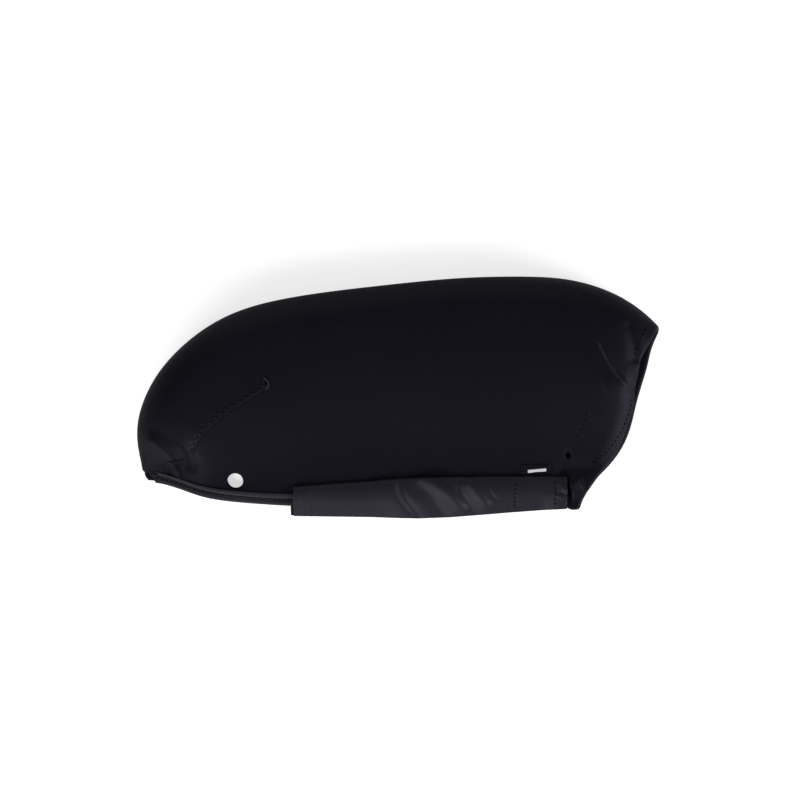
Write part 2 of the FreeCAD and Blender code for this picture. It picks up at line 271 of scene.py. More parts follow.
FRONT_CREASES = (
    # the nose: a ridge runs down to the gusset, and right of it the dart's end runs out in a valley
    Crease(((-209.0, -29.0), (-200.0, -37.0), (-190.0, -45.0), (-183.0, -56.0)), 3.4, 7.5, 4.4, taper=0.3),
    Crease(((-182.0, -37.0), (-176.5, -45.0), (-173.0, -54.0), (-172.5, -64.0)), -2.6, 4.6, 5.5, taper=0.35),
    Crease(((-191.0, -57.0), (-184.5, -60.5), (-180.5, -66.0)), 1.5, 3.4, taper=0.3),
    Crease(((-199.0, -55.5), (-193.5, -58.5), (-188.0, -64.0)), -1.6, 2.6, taper=0.3),
    # the cuff: a valley beside the rim above its dart, a swelling below, and the hem falls off to the rim
    Crease(((188.0, 64.0), (193.0, 46.0), (196.5, 27.0)), -1.9, 5.0, 4.5),
    Crease(((166.0, 8.0), (178.0, 10.0), (190.0, 7.0)), 1.4, 9.0, taper=0.35),
    Crease(
        (
            (204.0, 18.0), (199.0, 5.8), (196.5, -7.5), (193.2, -20.8), (188.4, -34.0), (181.4, -47.3),
            (169.8, -60.6),
        ),
        -3.0, 8.0, taper=0.12,
    ),
    # the flap's corner: the panel dips where it passes behind the flap's end, then swells down to its edge
    Crease(((128.0, -62.0), (146.0, -60.5), (164.0, -58.5)), -1.4, 3.5, 9.0, taper=0.3),
    Crease(((140.0, -71.5), (146.0, -70.0), (152.0, -67.5)), 5.0, 12.0, 6.0, taper=0.3),
    # a small dimple round the vent hole
    Crease(((139.0, -48.1), (141.6, -48.1)), -0.7, 4.0, taper=0.1),
)


class Side(enum.IntEnum):
    """The two panels of the folded sheet."""

    FRONT = 1
    BACK = -1


@dataclass(frozen=True)
class FoldedSheet:
    """The folded neoprene sheet, in millimetres.

    A place on it is a rib number and v: v is 0 on the fold, 1 on the front's open edge and -1 on the back's.
    """

    neoprene: float = 3.2
    # the back panel lies at the bed's height, and its rim is a little higher
    bed: float = -0.4
    rim_lift: float = 1.3
    rim_lift_start: float = 42.0
    rim_lift_reach: float = 30.0
    # how far from the fold both panels are rounded, and how flat the front's crown is
    front_reach: float = 30.0
    back_reach: float = 15.0
    crown_shape: float = 1.5
    # a larger spread puts the rows of points more evenly
    spread: float = 0.3
    # makes the sideways bow 1 where it is largest
    bow_scale: float = 3125 / 108
    # the cuff's sag grows from a place along a direction, and starts softly at the open edge
    sag: float = 11.0
    sag_start: Place = (146.0, 20.0)
    sag_run: Place = (0.88, -0.47)
    sag_reach: float = 62.0
    sag_edge: float = -78.0
    sag_edge_reach: float = 60.0
    # slow waves: height, their lengths along x and y over a full turn, and phase
    waves: tuple[tuple[float, float, float, float], ...] = ((0.3, 23.0, 31.0, 0.0), (0.15, 14.0, -19.0, 1.3))
    # the relief grows from nothing on the fold to its whole height at this v
    relief_start: float = 0.35

    @property
    def last(self) -> int:
        """Number of the cuff's rib."""
        return len(RIBS) - 1

    def lines(self) -> dict[str, UnitSpline]:
        """The curves that the sheet hangs on: the fold, both edges, and the crown's height."""
        return {
            "fold": UnitSpline([(*rib.fold, rib.fold_height) for rib in RIBS]),
            "back": UnitSpline([(*rib.back, rib.bow) for rib in RIBS]),
            "front": UnitSpline([(*rib.front, rib.edge_height) for rib in RIBS]),
            "crown": UnitSpline([(rib.crown_height,) for rib in RIBS]),
        }

    def length(self, rib: Array, side: Side) -> Array:
        """Length in plan of a rib from the fold to an open edge."""
        lines = self.lines()
        edge = lines["front" if side is Side.FRONT else "back"].at(rib)
        return np.linalg.norm((edge - lines["fold"].at(rib))[..., :2], axis=-1)

    def to_v(self, rib: Array, side: Side, distance: Array) -> Array:
        """The v at a distance from the fold: the root of v^2 (1 + spread) = share (v + spread)."""
        share = distance / self.length(rib, side)
        root = np.sqrt(share * share + 4 * (1 + self.spread) * self.spread * share)
        return side * (share + root) / (2 * (1 + self.spread))

    def _dart_pull(self, x: Array, y: Array, dart: Dart) -> Array:
        """How far a dart pulls the front down: its depth at the nearest place times a soft hill across it."""
        distance, along, _ = near_path(x, y, dart.path)
        return np.interp(along, lengths(dart.path), dart.depths) * bump(distance, dart.width)

    def _cuff_sag(self, x: Array, y: Array) -> Array:
        """How far the front sinks towards the cuff's lower rim: as the square of the way beyond its start."""
        along = (x - self.sag_start[0]) * self.sag_run[0] + (y - self.sag_start[1]) * self.sag_run[1]
        share = np.clip(along / self.sag_reach, 0, 1)
        return self.sag * share * share * smooth((y - self.sag_edge) / self.sag_edge_reach)

    def point(self, rib: Array, v: Array) -> Array:
        """Points of the outer face.

        In plan a point lies at a share of the way from the fold to the edge, with a sideways bow. Its height
        rises from the fold as an ellipse, then the front falls from its crown to its edge as a squared
        cosine, less the darts' pull, and the back lies on its bed with a slightly lifted rim.
        """
        rib, v = np.broadcast_arrays(np.asarray(rib, float), np.asarray(v, float))
        lines, is_front = self.lines(), v >= 0
        fold, back = lines["fold"].at(rib), lines["back"].at(rib)
        front, crown = lines["front"].at(rib), lines["crown"].at(rib)[..., 0]
        edge = np.where(is_front[..., None], front, back)
        run = (edge - fold)[..., :2]
        length = np.linalg.norm(run, axis=-1)
        run = run / length[..., None]
        share = v * v * (1 + self.spread) / (np.abs(v) + self.spread)
        distance = length * share
        bow = back[..., 2] * self.bow_scale * share**3 * (1 - share) ** 2
        x = fold[..., 0] + run[..., 0] * distance - run[..., 1] * bow
        y = fold[..., 1] + run[..., 1] * distance + run[..., 0] * bow
        rounding = np.minimum(np.where(is_front, self.front_reach, self.back_reach), 0.8 * length)
        rise = np.sqrt(1 - (1 - np.minimum(distance / rounding, 1)) ** 2)
        fall = np.cos(math.pi / 2 * np.minimum(share, 1) ** self.crown_shape) ** 2
        top = front[..., 2] + (crown - front[..., 2]) * fall
        high = fold[..., 2] + (top - fold[..., 2]) * rise
        high = high - self._dart_pull(x, y, NOSE_DART) - self._dart_pull(x, y, CUFF_DART)
        high = high - self._cuff_sag(x, y) * rise**2
        lifted = smooth((distance - length + self.rim_lift_start) / self.rim_lift_reach)
        bed = self.bed + self.rim_lift * lifted
        low = fold[..., 2] + (bed - fold[..., 2]) * rise
        return np.stack([x, y, np.where(is_front, high, low)], axis=-1)

    def normal(self, rib: Array, v: Array) -> Array:
        """Unit normals that point out of the sheet, from the differences of near points."""
        step = 0.01
        rib, v = np.broadcast_arrays(np.asarray(rib, float), np.asarray(v, float))
        along = self.point(np.minimum(rib + step, self.last), v) - self.point(np.maximum(rib - step, 0), v)
        across = self.point(rib, v + step) - self.point(rib, v - step)
        return unit(np.cross(across, along))

    def relief(self, x: Array, y: Array) -> Array:
        """The creases added up, and a slow unevenness from two long sine waves."""
        waves = sum(height * np.sin(x / by_x + y / by_y + phase) for height, by_x, by_y, phase in self.waves)
        return waves + sum(crease.relief(x, y) for crease in FRONT_CREASES)

    def off(self, rib: Array, v: Array, offset: Array) -> Array:
        """Points that stand off the outer face along its normal.

        The front also has its relief, and no point goes below the floor.
        """
        rib, v = np.broadcast_arrays(np.asarray(rib, float), np.asarray(v, float))
        base = self.point(rib, v)
        lift = self.relief(base[..., 0], base[..., 1]) * smooth(v / self.relief_start)
        return above_floor(base + self.normal(rib, v) * (offset + lift)[..., None])

    def even_ribs(self, count: int, v: float = 0.5) -> Array:
        """Rib numbers that are evenly spaced along the sheet at a v."""
        fine = np.linspace(0, self.last, 1401)
        length = lengths(self.point(fine, v))
        return np.interp(np.linspace(0, length[-1], count), length, fine)

    def locate(self, x: Array, y: Array, side: Side = Side.FRONT) -> tuple[Array, Array]:
        """The rib and v of the sheet's points over places in plan.

        It starts from the nearest point of a coarse grid and takes ten steps of Newton's method.
        """
        x, y = np.broadcast_arrays(np.asarray(x, float), np.asarray(y, float))
        ribs, rows = np.meshgrid(np.linspace(0, self.last, 57), side * np.linspace(0.1, 1, 19), indexing="ij")
        coarse = self.point(ribs, rows)[..., :2].reshape(-1, 2)
        gap = (x.reshape(-1, 1) - coarse[:, 0]) ** 2 + (y.reshape(-1, 1) - coarse[:, 1]) ** 2
        best = gap.argmin(axis=1)
        rib, v = ribs.reshape(-1)[best].reshape(x.shape), rows.reshape(-1)[best].reshape(x.shape)
        step = 1e-3
        for _ in range(10):
            here = self.point(rib, v)
            miss_x, miss_y = here[..., 0] - x, here[..., 1] - y
            by_rib = (self.point(rib + step, v) - self.point(rib - step, v)) / (2 * step)
            by_v = (self.point(rib, v + step) - self.point(rib, v - step)) / (2 * step)
            turn = by_rib[..., 0] * by_v[..., 1] - by_rib[..., 1] * by_v[..., 0]
            rib = np.clip(rib - (miss_x * by_v[..., 1] - miss_y * by_v[..., 0]) / turn, 0, self.last)
            v = v - (by_rib[..., 0] * miss_y - by_rib[..., 1] * miss_x) / turn
        return rib, v

    def over(self, x: Array, y: Array, offset: Array, side: Side = Side.FRONT) -> Array:
        """Points that stand off the sheet over places in plan."""
        return self.off(*self.locate(x, y, side), offset)


# ---------------------------------------------------------------------------- meshes


def new_object(name: str, data: bpy.types.ID) -> Object:
    """A new object at the origin, linked to the scene."""
    obj = bpy.data.objects.new(name, data)
    bpy.context.scene.collection.objects.link(obj)
    return obj


def make_mesh(name: str, points: Array, faces: Array, uv: Array, inside: Array | None = None) -> Object:
    """Puts points in millimetres and four-cornered faces into a new object in metres, shaded smooth.

    Args:
        name: the piece's name.
        points: count x 3 array.
        faces: count x 4 array of point numbers.
        uv: count x 2 array in millimetres along the cloth, one for each point.
        inside: for each face, 1 where it takes the piece's second material.

    Returns:
        The object, linked to the scene.
    """
    mesh = bpy.data.meshes.new(name)
    mesh.vertices.add(len(points))
    mesh.vertices.foreach_set("co", (points * MM).astype(np.float32).ravel())
    mesh.loops.add(faces.size)
    mesh.loops.foreach_set("vertex_index", faces.astype(np.int32).ravel())
    mesh.polygons.add(len(faces))
    mesh.polygons.foreach_set("loop_start", np.arange(0, faces.size, 4, dtype=np.int32))
    if inside is not None:
        mesh.polygons.foreach_set("material_index", inside.astype(np.int32))
    mesh.update(calc_edges=True)
    layer = mesh.uv_layers.new(name="Cloth")
    layer.data.foreach_set("uv", uv[faces.ravel()].astype(np.float32).ravel())
    mesh.validate()
    mesh.shade_smooth()
    return new_object(name, mesh)


def outward(points: Array, faces: Array) -> Array:
    """The faces, turned round if the closed mesh is inside out: its signed volume is then below 0."""
    a, b, c, d = (points[faces[:, n]] for n in range(4))
    volume = np.einsum("ij,ij->i", a, np.cross(b, c)).sum() + np.einsum("ij,ij->i", a, np.cross(c, d)).sum()
    return faces if volume > 0 else faces[:, ::-1]


def grid_faces(rows: int, columns: int) -> Array:
    """Four-cornered faces of a grid of points, row by row."""
    first = (np.arange(rows - 1)[:, None] * columns + np.arange(columns - 1)[None, :]).ravel()
    return np.stack([first, first + 1, first + columns + 1, first + columns], axis=1)


@dataclass
class Layer:
    """A closed layer of cloth between an outer and an inner grid of points, with a soft rim round it."""

    name: str
    outer: Array
    inner: Array
    missing: Array | None = None
    bulge: float = 0.35
    rim_rows: int = 2

    def _cloth_uv(self) -> Array:
        """For each grid point, the lengths along and across the grid's middle lines, in millimetres."""
        rows, columns = self.outer.shape[:2]
        down, along = lengths(self.outer[:, columns // 2]), lengths(self.outer[rows // 2])
        return np.stack(np.meshgrid(down, along, indexing="ij"), axis=-1).reshape(-1, 2)

    def build(self) -> Object:
        """Faces on both grids, the inner ones marked as inside, and walls from each edge with only one face.

        A wall's middle rows bulge: they follow mid + half cos(a) + out |half| sin(a) bulge for angles a from 0
        to a half turn.
        """
        rows, columns = self.outer.shape[:2]
        count = rows * columns
        faces = grid_faces(rows, columns)
        if self.missing is not None:
            faces = faces[~self.missing[: rows - 1, : columns - 1].ravel()]
        uv = self._cloth_uv()
        edges = np.concatenate([faces[:, [0, 1]], faces[:, [1, 2]], faces[:, [2, 3]], faces[:, [3, 0]]])
        owner = np.tile(np.arange(len(faces)), 4)
        key = edges[:, 0] * count + edges[:, 1]
        back = edges[:, 1] * count + edges[:, 0]
        rim = ~np.isin(key, back)
        border, owner = edges[rim], owner[rim]
        outer, inner = self.outer.reshape(-1, 3), self.inner.reshape(-1, 3)
        middle = outer[faces[owner]].mean(axis=1)
        run = unit(outer[border[:, 1]] - outer[border[:, 0]])
        away = (outer[border[:, 0]] + outer[border[:, 1]]) / 2 - middle
        away = unit(away - np.einsum("ij,ij->i", away, run)[:, None] * run)
        push = np.zeros((count, 3))
        np.add.at(push, border[:, 0], away)
        np.add.at(push, border[:, 1], away)
        used = np.unique(border)
        push = unit(push[used])
        centre, half = (outer[used] + inner[used]) / 2, (outer[used] - inner[used]) / 2
        reach = np.linalg.norm(half, axis=1)[:, None] * self.bulge
        angles = np.linspace(0, math.pi, self.rim_rows + 2)[1:-1]
        rims = [centre + half * math.cos(a) + push * reach * math.sin(a) for a in angles]
        number = np.full(count, -1)
        number[used] = np.arange(len(used))
        chain = [border]
        chain += [number[border] + 2 * count + n * len(used) for n in range(self.rim_rows)]
        chain += [border + count]
        walls = [np.stack([a[:, 1], a[:, 0], b[:, 0], b[:, 1]], axis=1) for a, b in zip(chain, chain[1:])]
        points = np.concatenate([outer, inner, *rims])
        every = np.concatenate([faces, faces[:, ::-1] + count, *walls])
        inside = np.zeros(len(every), int)
        inside[len(faces) : 2 * len(faces)] = 1
        uvs = np.concatenate([uv, uv] + [uv[used]] * self.rim_rows)
        kept = np.unique(every)
        renumber = np.zeros(len(points), int)
        renumber[kept] = np.arange(len(kept))
        points, every, uvs = points[kept], renumber[every], uvs[kept]
        return make_mesh(self.name, points, outward(points, every), uvs, inside)


def laid_on(
    sheet: FoldedSheet, name: str, x: Array, y: Array, top: Array, bottom: Array, side: Side = Side.FRONT
) -> Layer:
    """A layer over places in plan, between two offsets from a panel's outer face."""
    rib, v = sheet.locate(x, y, side)
    return Layer(name, sheet.off(rib, v, top), sheet.off(rib, v, bottom))


@dataclass
class Thread:
    """Round threads along routes, all in one mesh."""

    name: str
    routes: list[Array]
    radius: float = 0.3
    sides: int = 6
    flatten: float = 1.0

    def build(self) -> Object:
        """A ring of points round each point of a route, and a small ring and closing faces at both ends."""
        points, faces, uvs, start = [], [], [], 0
        angles = np.linspace(0, 2 * math.pi, self.sides, endpoint=False)
        for route in self.routes:
            run = unit(np.gradient(route, axis=0))
            side = unit(np.cross(run, (0.0, 0.0, 1.0)) + 1e-6)
            top = unit(np.cross(side, run))
            cap = run[[0, -1]] * self.radius * 0.6
            centre = np.concatenate([route[:1] - cap[:1], route, route[-1:] + cap[1:]])
            side = np.concatenate([side[:1], side, side[-1:]])
            top = np.concatenate([top[:1], top, top[-1:]])
            radius = np.full(len(centre), self.radius)
            radius[[0, -1]] = self.radius * 0.25
            ring = side[:, None] * np.cos(angles)[:, None]
            ring = ring + top[:, None] * np.sin(angles)[:, None] * self.flatten
            tube = centre[:, None] + ring * radius[:, None, None]
            rows = len(centre)
            row, corner = np.arange(rows - 1)[:, None] * self.sides, np.arange(self.sides)
            first, after = row + corner, row + (corner + 1) % self.sides
            quads = np.stack([first, after, after + self.sides, first + self.sides], axis=-1).reshape(-1, 4)
            ends = []
            for base, turn in ((0, -1), ((rows - 1) * self.sides, 1)):
                for n in range(1, self.sides - 2, 2):
                    ends.append(np.array([base, base + n, base + n + 1, base + n + 2])[::turn])
            tube = tube.reshape(-1, 3)
            every = outward(tube, np.concatenate([quads, np.array(ends)]))
            uv = np.meshgrid(lengths(centre), np.arange(self.sides) * self.radius, indexing="ij")
            points.append(tube)
            faces.append(every + start)
            uvs.append(np.stack(uv, axis=-1).reshape(-1, 2))
            start += len(tube)
        return make_mesh(self.name, np.concatenate(points), np.concatenate(faces), np.concatenate(uvs))


# How far the ends of a stitch dive into the cloth, in millimetres
DIVE = 0.35


def stitch_row(line: Array, pitch: float, share: float = 0.7) -> list[Array]:
    """Short separate stitches along a line of points that are evenly spaced.

    Args:
        line: count x 3 array of points, closely and evenly spaced.
        pitch: length from one stitch to the next, in millimetres.
        share: the part of the pitch that the thread shows.

    Returns:
        One route of five points for each stitch; its ends dive into the cloth.
    """
    total = lengths(line)[-1]
    count = max(1, int(total / pitch))
    middles = np.arange(count)[:, None] + 0.5
    wanted = (middles + np.linspace(-0.5, 0.5, 5) * share) * total / count
    routes = at_lengths(line, wanted.ravel()).reshape(count, 5, 3)
    routes[:, [0, -1], 2] -= DIVE
    return list(routes)


# ---------------------------------------------------------------------------- finishes


def linear(hex_colour: str) -> tuple[float, float, float, float]:
    """An sRGB hex colour such as #1a2b3c as linear red, green, blue and 1."""
    parts = [int(hex_colour[n : n + 2], 16) / 255 for n in (1, 3, 5)]
    return (*[p / 12.92 if p <= 0.04045 else ((p + 0.055) / 1.055) ** 2.4 for p in parts], 1.0)


def fresh_tree(owner: bpy.types.Material | bpy.types.World) -> NodeTree:
    """Turns the nodes of a material or a world on, and empties them."""
    owner.use_nodes = True
    owner.node_tree.nodes.clear()
    return owner.node_tree


def add(tree: NodeTree, kind: str, settings: dict | None = None, **inputs: object) -> bpy.types.Node:
    """Adds one node to a tree.

    Args:
        tree: the material's node tree.
        kind: the node's type name, such as ShaderNodeTexNoise.
        settings: the node's own properties.
        inputs: values or sockets by input name, with _ for a space, or n and a number for an input's number.

    Returns:
        The node.
    """
    made = tree.nodes.new(kind)
    for name, value in (settings or {}).items():
        setattr(made, name, value)
    for name, value in inputs.items():
        key = int(name[1:]) if name[0] == "n" and name[1:].isdigit() else name.replace("_", " ")
        if isinstance(value, Socket):
            tree.links.new(value, made.inputs[key])
        else:
            made.inputs[key].default_value = value
    return made


class Weave(enum.Enum):
    """How a cloth's threads lie."""

    PLAIN = "plain"
    KNIT = "knit"
    RIBBED = "ribbed"
    SATIN = "satin"


# How far the threads lean as they go across: to and fro in a knit, always the same way in a satin
SLANTS = {Weave.KNIT: 0.8, Weave.SATIN: 0.35}
# Share of the threads, against the clouds and the fuzz, in a cloth's colour
THREAD_SHARE = 0.35
# Fuzz: patches for each millimetre, and height against the threads'
FUZZ_SCALE = 0.45
FUZZ_HEIGHT = 0.6
# Stray fibres on the cloth: radius of the spot in millimetres, and colour
FLECK_RADIUS = 0.45
FLECK_COLOUR = "#3c3c40"


@dataclass(frozen=True)
class ClothFinish:
    """A cloth: its two close colours, its threads and its gloss. The pattern follows the Cloth UV map."""

    name: str
    dark: str
    light: str
    weave: Weave
    thread_mm: float
    depth_mm: float
    roughness: float
    specular: float = 0.08
    sheen: float = 0.02
    gloss: str = "#ffffff"
    mottle_mm: float = 40.0
    mottle: float = 0.15
    fleck_mm: float = 0.0

    def _threads(self, tree: NodeTree, place: Socket) -> Socket:
        """Height of the threads from 0 to 1: sine ridges across, along, or both, by the weave."""
        turn = math.pi / self.thread_mm
        parts = add(tree, "ShaderNodeSeparateXYZ", Vector=place)
        along, across = parts.outputs["X"], parts.outputs["Y"]
        slanted, slope = across, SLANTS.get(self.weave)
        if self.weave is Weave.KNIT:
            wobble = add(tree, "ShaderNodeMath", {"operation": "PINGPONG"}, n0=across, n1=self.thread_mm)
            slanted = wobble.outputs[0]
        if slope:
            slant = {"operation": "MULTIPLY_ADD"}
            along = add(tree, "ShaderNodeMath", slant, n0=slanted, n1=slope, n2=along).outputs[0]
        waves = []
        for run in (along, across):
            angle = add(tree, "ShaderNodeMath", {"operation": "MULTIPLY"}, n0=run, n1=turn)
            wave = add(tree, "ShaderNodeMath", {"operation": "SINE"}, n0=angle.outputs[0])
            ridges = add(tree, "ShaderNodeMath", {"operation": "ABSOLUTE"}, n0=wave.outputs[0])
            waves.append(ridges.outputs[0])
        if self.weave is Weave.RIBBED:
            return waves[0]
        return add(tree, "ShaderNodeMath", {"operation": "MULTIPLY"}, n0=waves[0], n1=waves[1]).outputs[0]

    def _flecks(self, tree: NodeTree, place: Socket, colour: Socket) -> Socket:
        """The colour with stray pale fibres: small spots at the middles of scattered cells."""
        cells = add(tree, "ShaderNodeTexVoronoi", Vector=place, Scale=1 / self.fleck_mm)
        reach = FLECK_RADIUS / self.fleck_mm
        spot = add(tree, "ShaderNodeMath", {"operation": "LESS_THAN"}, n0=cells.outputs["Distance"], n1=reach)
        fibre = linear(FLECK_COLOUR)
        mixed = add(tree, "ShaderNodeMix", {"data_type": "RGBA"}, n0=spot.outputs[0], n6=colour, n7=fibre)
        return mixed.outputs[2]

    def material(self) -> bpy.types.Material:
        """The finish as nodes: mottled colour, threads and fuzz as bump, and constant gloss on the shader."""
        made = bpy.data.materials.new(self.name)
        tree = fresh_tree(made)
        place = add(tree, "ShaderNodeUVMap", {"uv_map": "Cloth"}).outputs["UV"]
        threads = self._threads(tree, place)
        size = 1 / self.mottle_mm
        clouds = add(tree, "ShaderNodeTexNoise", Vector=place, Scale=size, Detail=4.0, Roughness=0.6)
        fuzz = add(tree, "ShaderNodeTexNoise", Vector=place, Scale=FUZZ_SCALE, Detail=3.0, Roughness=0.7)
        grain, weighed = 0.0, {"operation": "MULTIPLY_ADD"}
        shares = (self.mottle, THREAD_SHARE, 1 - THREAD_SHARE - self.mottle)
        for part, share in zip((clouds.outputs[0], threads, fuzz.outputs[0]), shares):
            grain = add(tree, "ShaderNodeMath", weighed, n0=part, n1=share, n2=grain).outputs[0]
        ramp = add(tree, "ShaderNodeValToRGB", Fac=grain)
        for stop, position, colour in zip(ramp.color_ramp.elements, (0.2, 0.7), (self.dark, self.light)):
            stop.position, stop.color = position, linear(colour)
        colour = ramp.outputs[0]
        if self.fleck_mm:
            colour = self._flecks(tree, place, colour)
        height = add(tree, "ShaderNodeMath", weighed, n0=fuzz.outputs[0], n1=FUZZ_HEIGHT, n2=threads)
        depth = self.depth_mm * MM
        relief = add(tree, "ShaderNodeBump", Height=height.outputs[0], Strength=0.6, Distance=depth)
        shader = add(
            tree,
            "ShaderNodeBsdfPrincipled",
            Base_Color=colour,
            Roughness=self.roughness,
            Normal=relief.outputs[0],
            Specular_IOR_Level=self.specular,
            Specular_Tint=linear(self.gloss),
            Sheen_Weight=self.sheen,
            Sheen_Roughness=0.4,
        )
        add(tree, "ShaderNodeOutputMaterial", Surface=shader.outputs[0])
        return made


# Knitted nylon jersey laminated to foam rubber: loops trap light, so it is a very deep matt black. The real
# loops are 0.35 mm apart; they are drawn 1.1 mm apart so that they show.
JERSEY = ClothFinish(
    "neoprene_knitted_jersey", "#06060b", "#0d0d14", Weave.KNIT, 1.1, 0.12, 0.5, specular=0.125, sheen=0.0,
    gloss="#e5deff", fleck_mm=62,
)
# The inner side is a brushed jersey: softer and duller.
LINING = ClothFinish(
    "neoprene_brushed_lining", "#0a0a0d", "#141418", Weave.KNIT, 1.3, 0.2, 0.95, specular=0.02
)
# Woven polyester tape with cross ribs, folded round edges: a dull satin black.
TAPE = ClothFinish("polyester_ribbed_tape", "#1a1a1f", "#2d2d34", Weave.RIBBED, 0.9, 0.15, 0.55, specular=0.1)
# The same tape ironed flat over a dart's seam: hardly lighter than the jersey round it.
SEAM_TAPE = ClothFinish(
    "polyester_seam_tape", "#0a0a10", "#15151d", Weave.RIBBED, 0.9, 0.1, 0.5, specular=0.16, gloss="#e5deff"
)
# Plain-woven nylon: smooth threads side by side give a broad soft sheen where the cloth tilts, and it looks
# dark grey. The real threads are 0.25 mm apart; they are drawn 0.8 mm apart so that they show.
NYLON = ClothFinish(
    "nylon_plain_weave", "#17171c", "#212128", Weave.PLAIN, 0.8, 0.08, 0.47, specular=0.17, mottle_mm=25,
    gloss="#e9e4ff",
)
# The nylon's inner side has a rubbery coating: flatter and darker than the outer side.
COATING = ClothFinish("nylon_coated_side", "#0b0b0d", "#141417", Weave.PLAIN, 0.8, 0.04, 0.6, specular=0.05)
# Satin-woven polyester label: long floats give a slightly brighter, silky black.
SATIN = ClothFinish(
    "polyester_satin_label", "#0a0a0f", "#15151b", Weave.SATIN, 0.6, 0.06, 0.45, specular=0.06
)
# White polyester weft, woven into the label as a plain bar.
PALE_WEFT = ClothFinish(
    "polyester_pale_weft", "#b4b4b9", "#e2e2e6", Weave.SATIN, 0.6, 0.08, 0.6, specular=0.2
)
# Twisted polyester sewing thread: tight turns of black, hardly shiny. Part of its colour is painted shade: it is
# darker than the jersey so that the stitches read as dark dots, like the shade in their needle holes.
THREAD = ClothFinish(
    "polyester_sewing_thread_painted_shade", "#030305", "#08080b", Weave.RIBBED, 0.5, 0.08, 0.6, specular=0.03, sheen=0.0
)
# Moulded nylon hooks on a woven ground.
HOOKS = ClothFinish("nylon_hook_tape", "#101012", "#1c1c20", Weave.PLAIN, 1.2, 0.2, 0.4, specular=0.3)
# Napped nylon loops: a fuzzy matt black.
LOOPS = ClothFinish(
    "nylon_loop_tape", "#0e0e10", "#1b1b1f", Weave.PLAIN, 0.9, 0.3, 0.95, specular=0.04, sheen=0.15
)


class Wardrobe:
    """Makes each finish once and dresses pieces with it."""

    def __init__(self) -> None:
        """Starts with no materials made."""
        self.made: dict[str, bpy.types.Material] = {}

    def _material(self, finish: ClothFinish) -> bpy.types.Material:
        """A finish's material, made the first time that it is asked for."""
        if finish.name not in self.made:
            self.made[finish.name] = finish.material()
        return self.made[finish.name]

    def fit(
        self, obj: Object, finish: ClothFinish, slot: str, move: Callable[[Object], Object], *nodes: str,
        inner: ClothFinish | None = None,
    ) -> Object:
        """Dresses a piece, hides the CAD parts that it stands for, and passes it to move.

        Args:
            obj: the piece.
            finish: the finish of its outer side.
            slot: the name of the record's material slot that the finish comes from; it is not used.
            move: attaches the piece to the body, or bakes its placing into its mesh.
            nodes: the CAD nodes that the piece stands for.
            inner: the finish of its inner side, where that differs.

        Returns:
            The piece.
        """
        obj.data.materials.clear()
        obj.data.materials.append(self._material(finish))
        if inner is None:
            obj.data.polygons.foreach_set("material_index", np.zeros(len(obj.data.polygons), np.int32))
        else:
            obj.data.materials.append(self._material(inner))
        if nodes:
            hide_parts(*nodes)
        return move(obj)


# ---------------------------------------------------------------------------- how pieces move


def with_body(obj: Object) -> Object:
    """Makes a piece follow the body alone."""
    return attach(obj, "body")


@dataclass(frozen=True)
class LipLine:
    """The line across the front panel beyond which it lifts, and the band over which the cloth bends."""

    start: Place = (-104.0, -76.0)
    end: Place = (203.0, 5.0)
    before: float = 12.0
    after: float = 14.0

    def bend(self, obj: Object) -> Object:
        """Bakes the piece's placing into its mesh."""
        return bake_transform(obj)


LIP = LipLine()


# ---------------------------------------------------------------------------- sub-assemblies


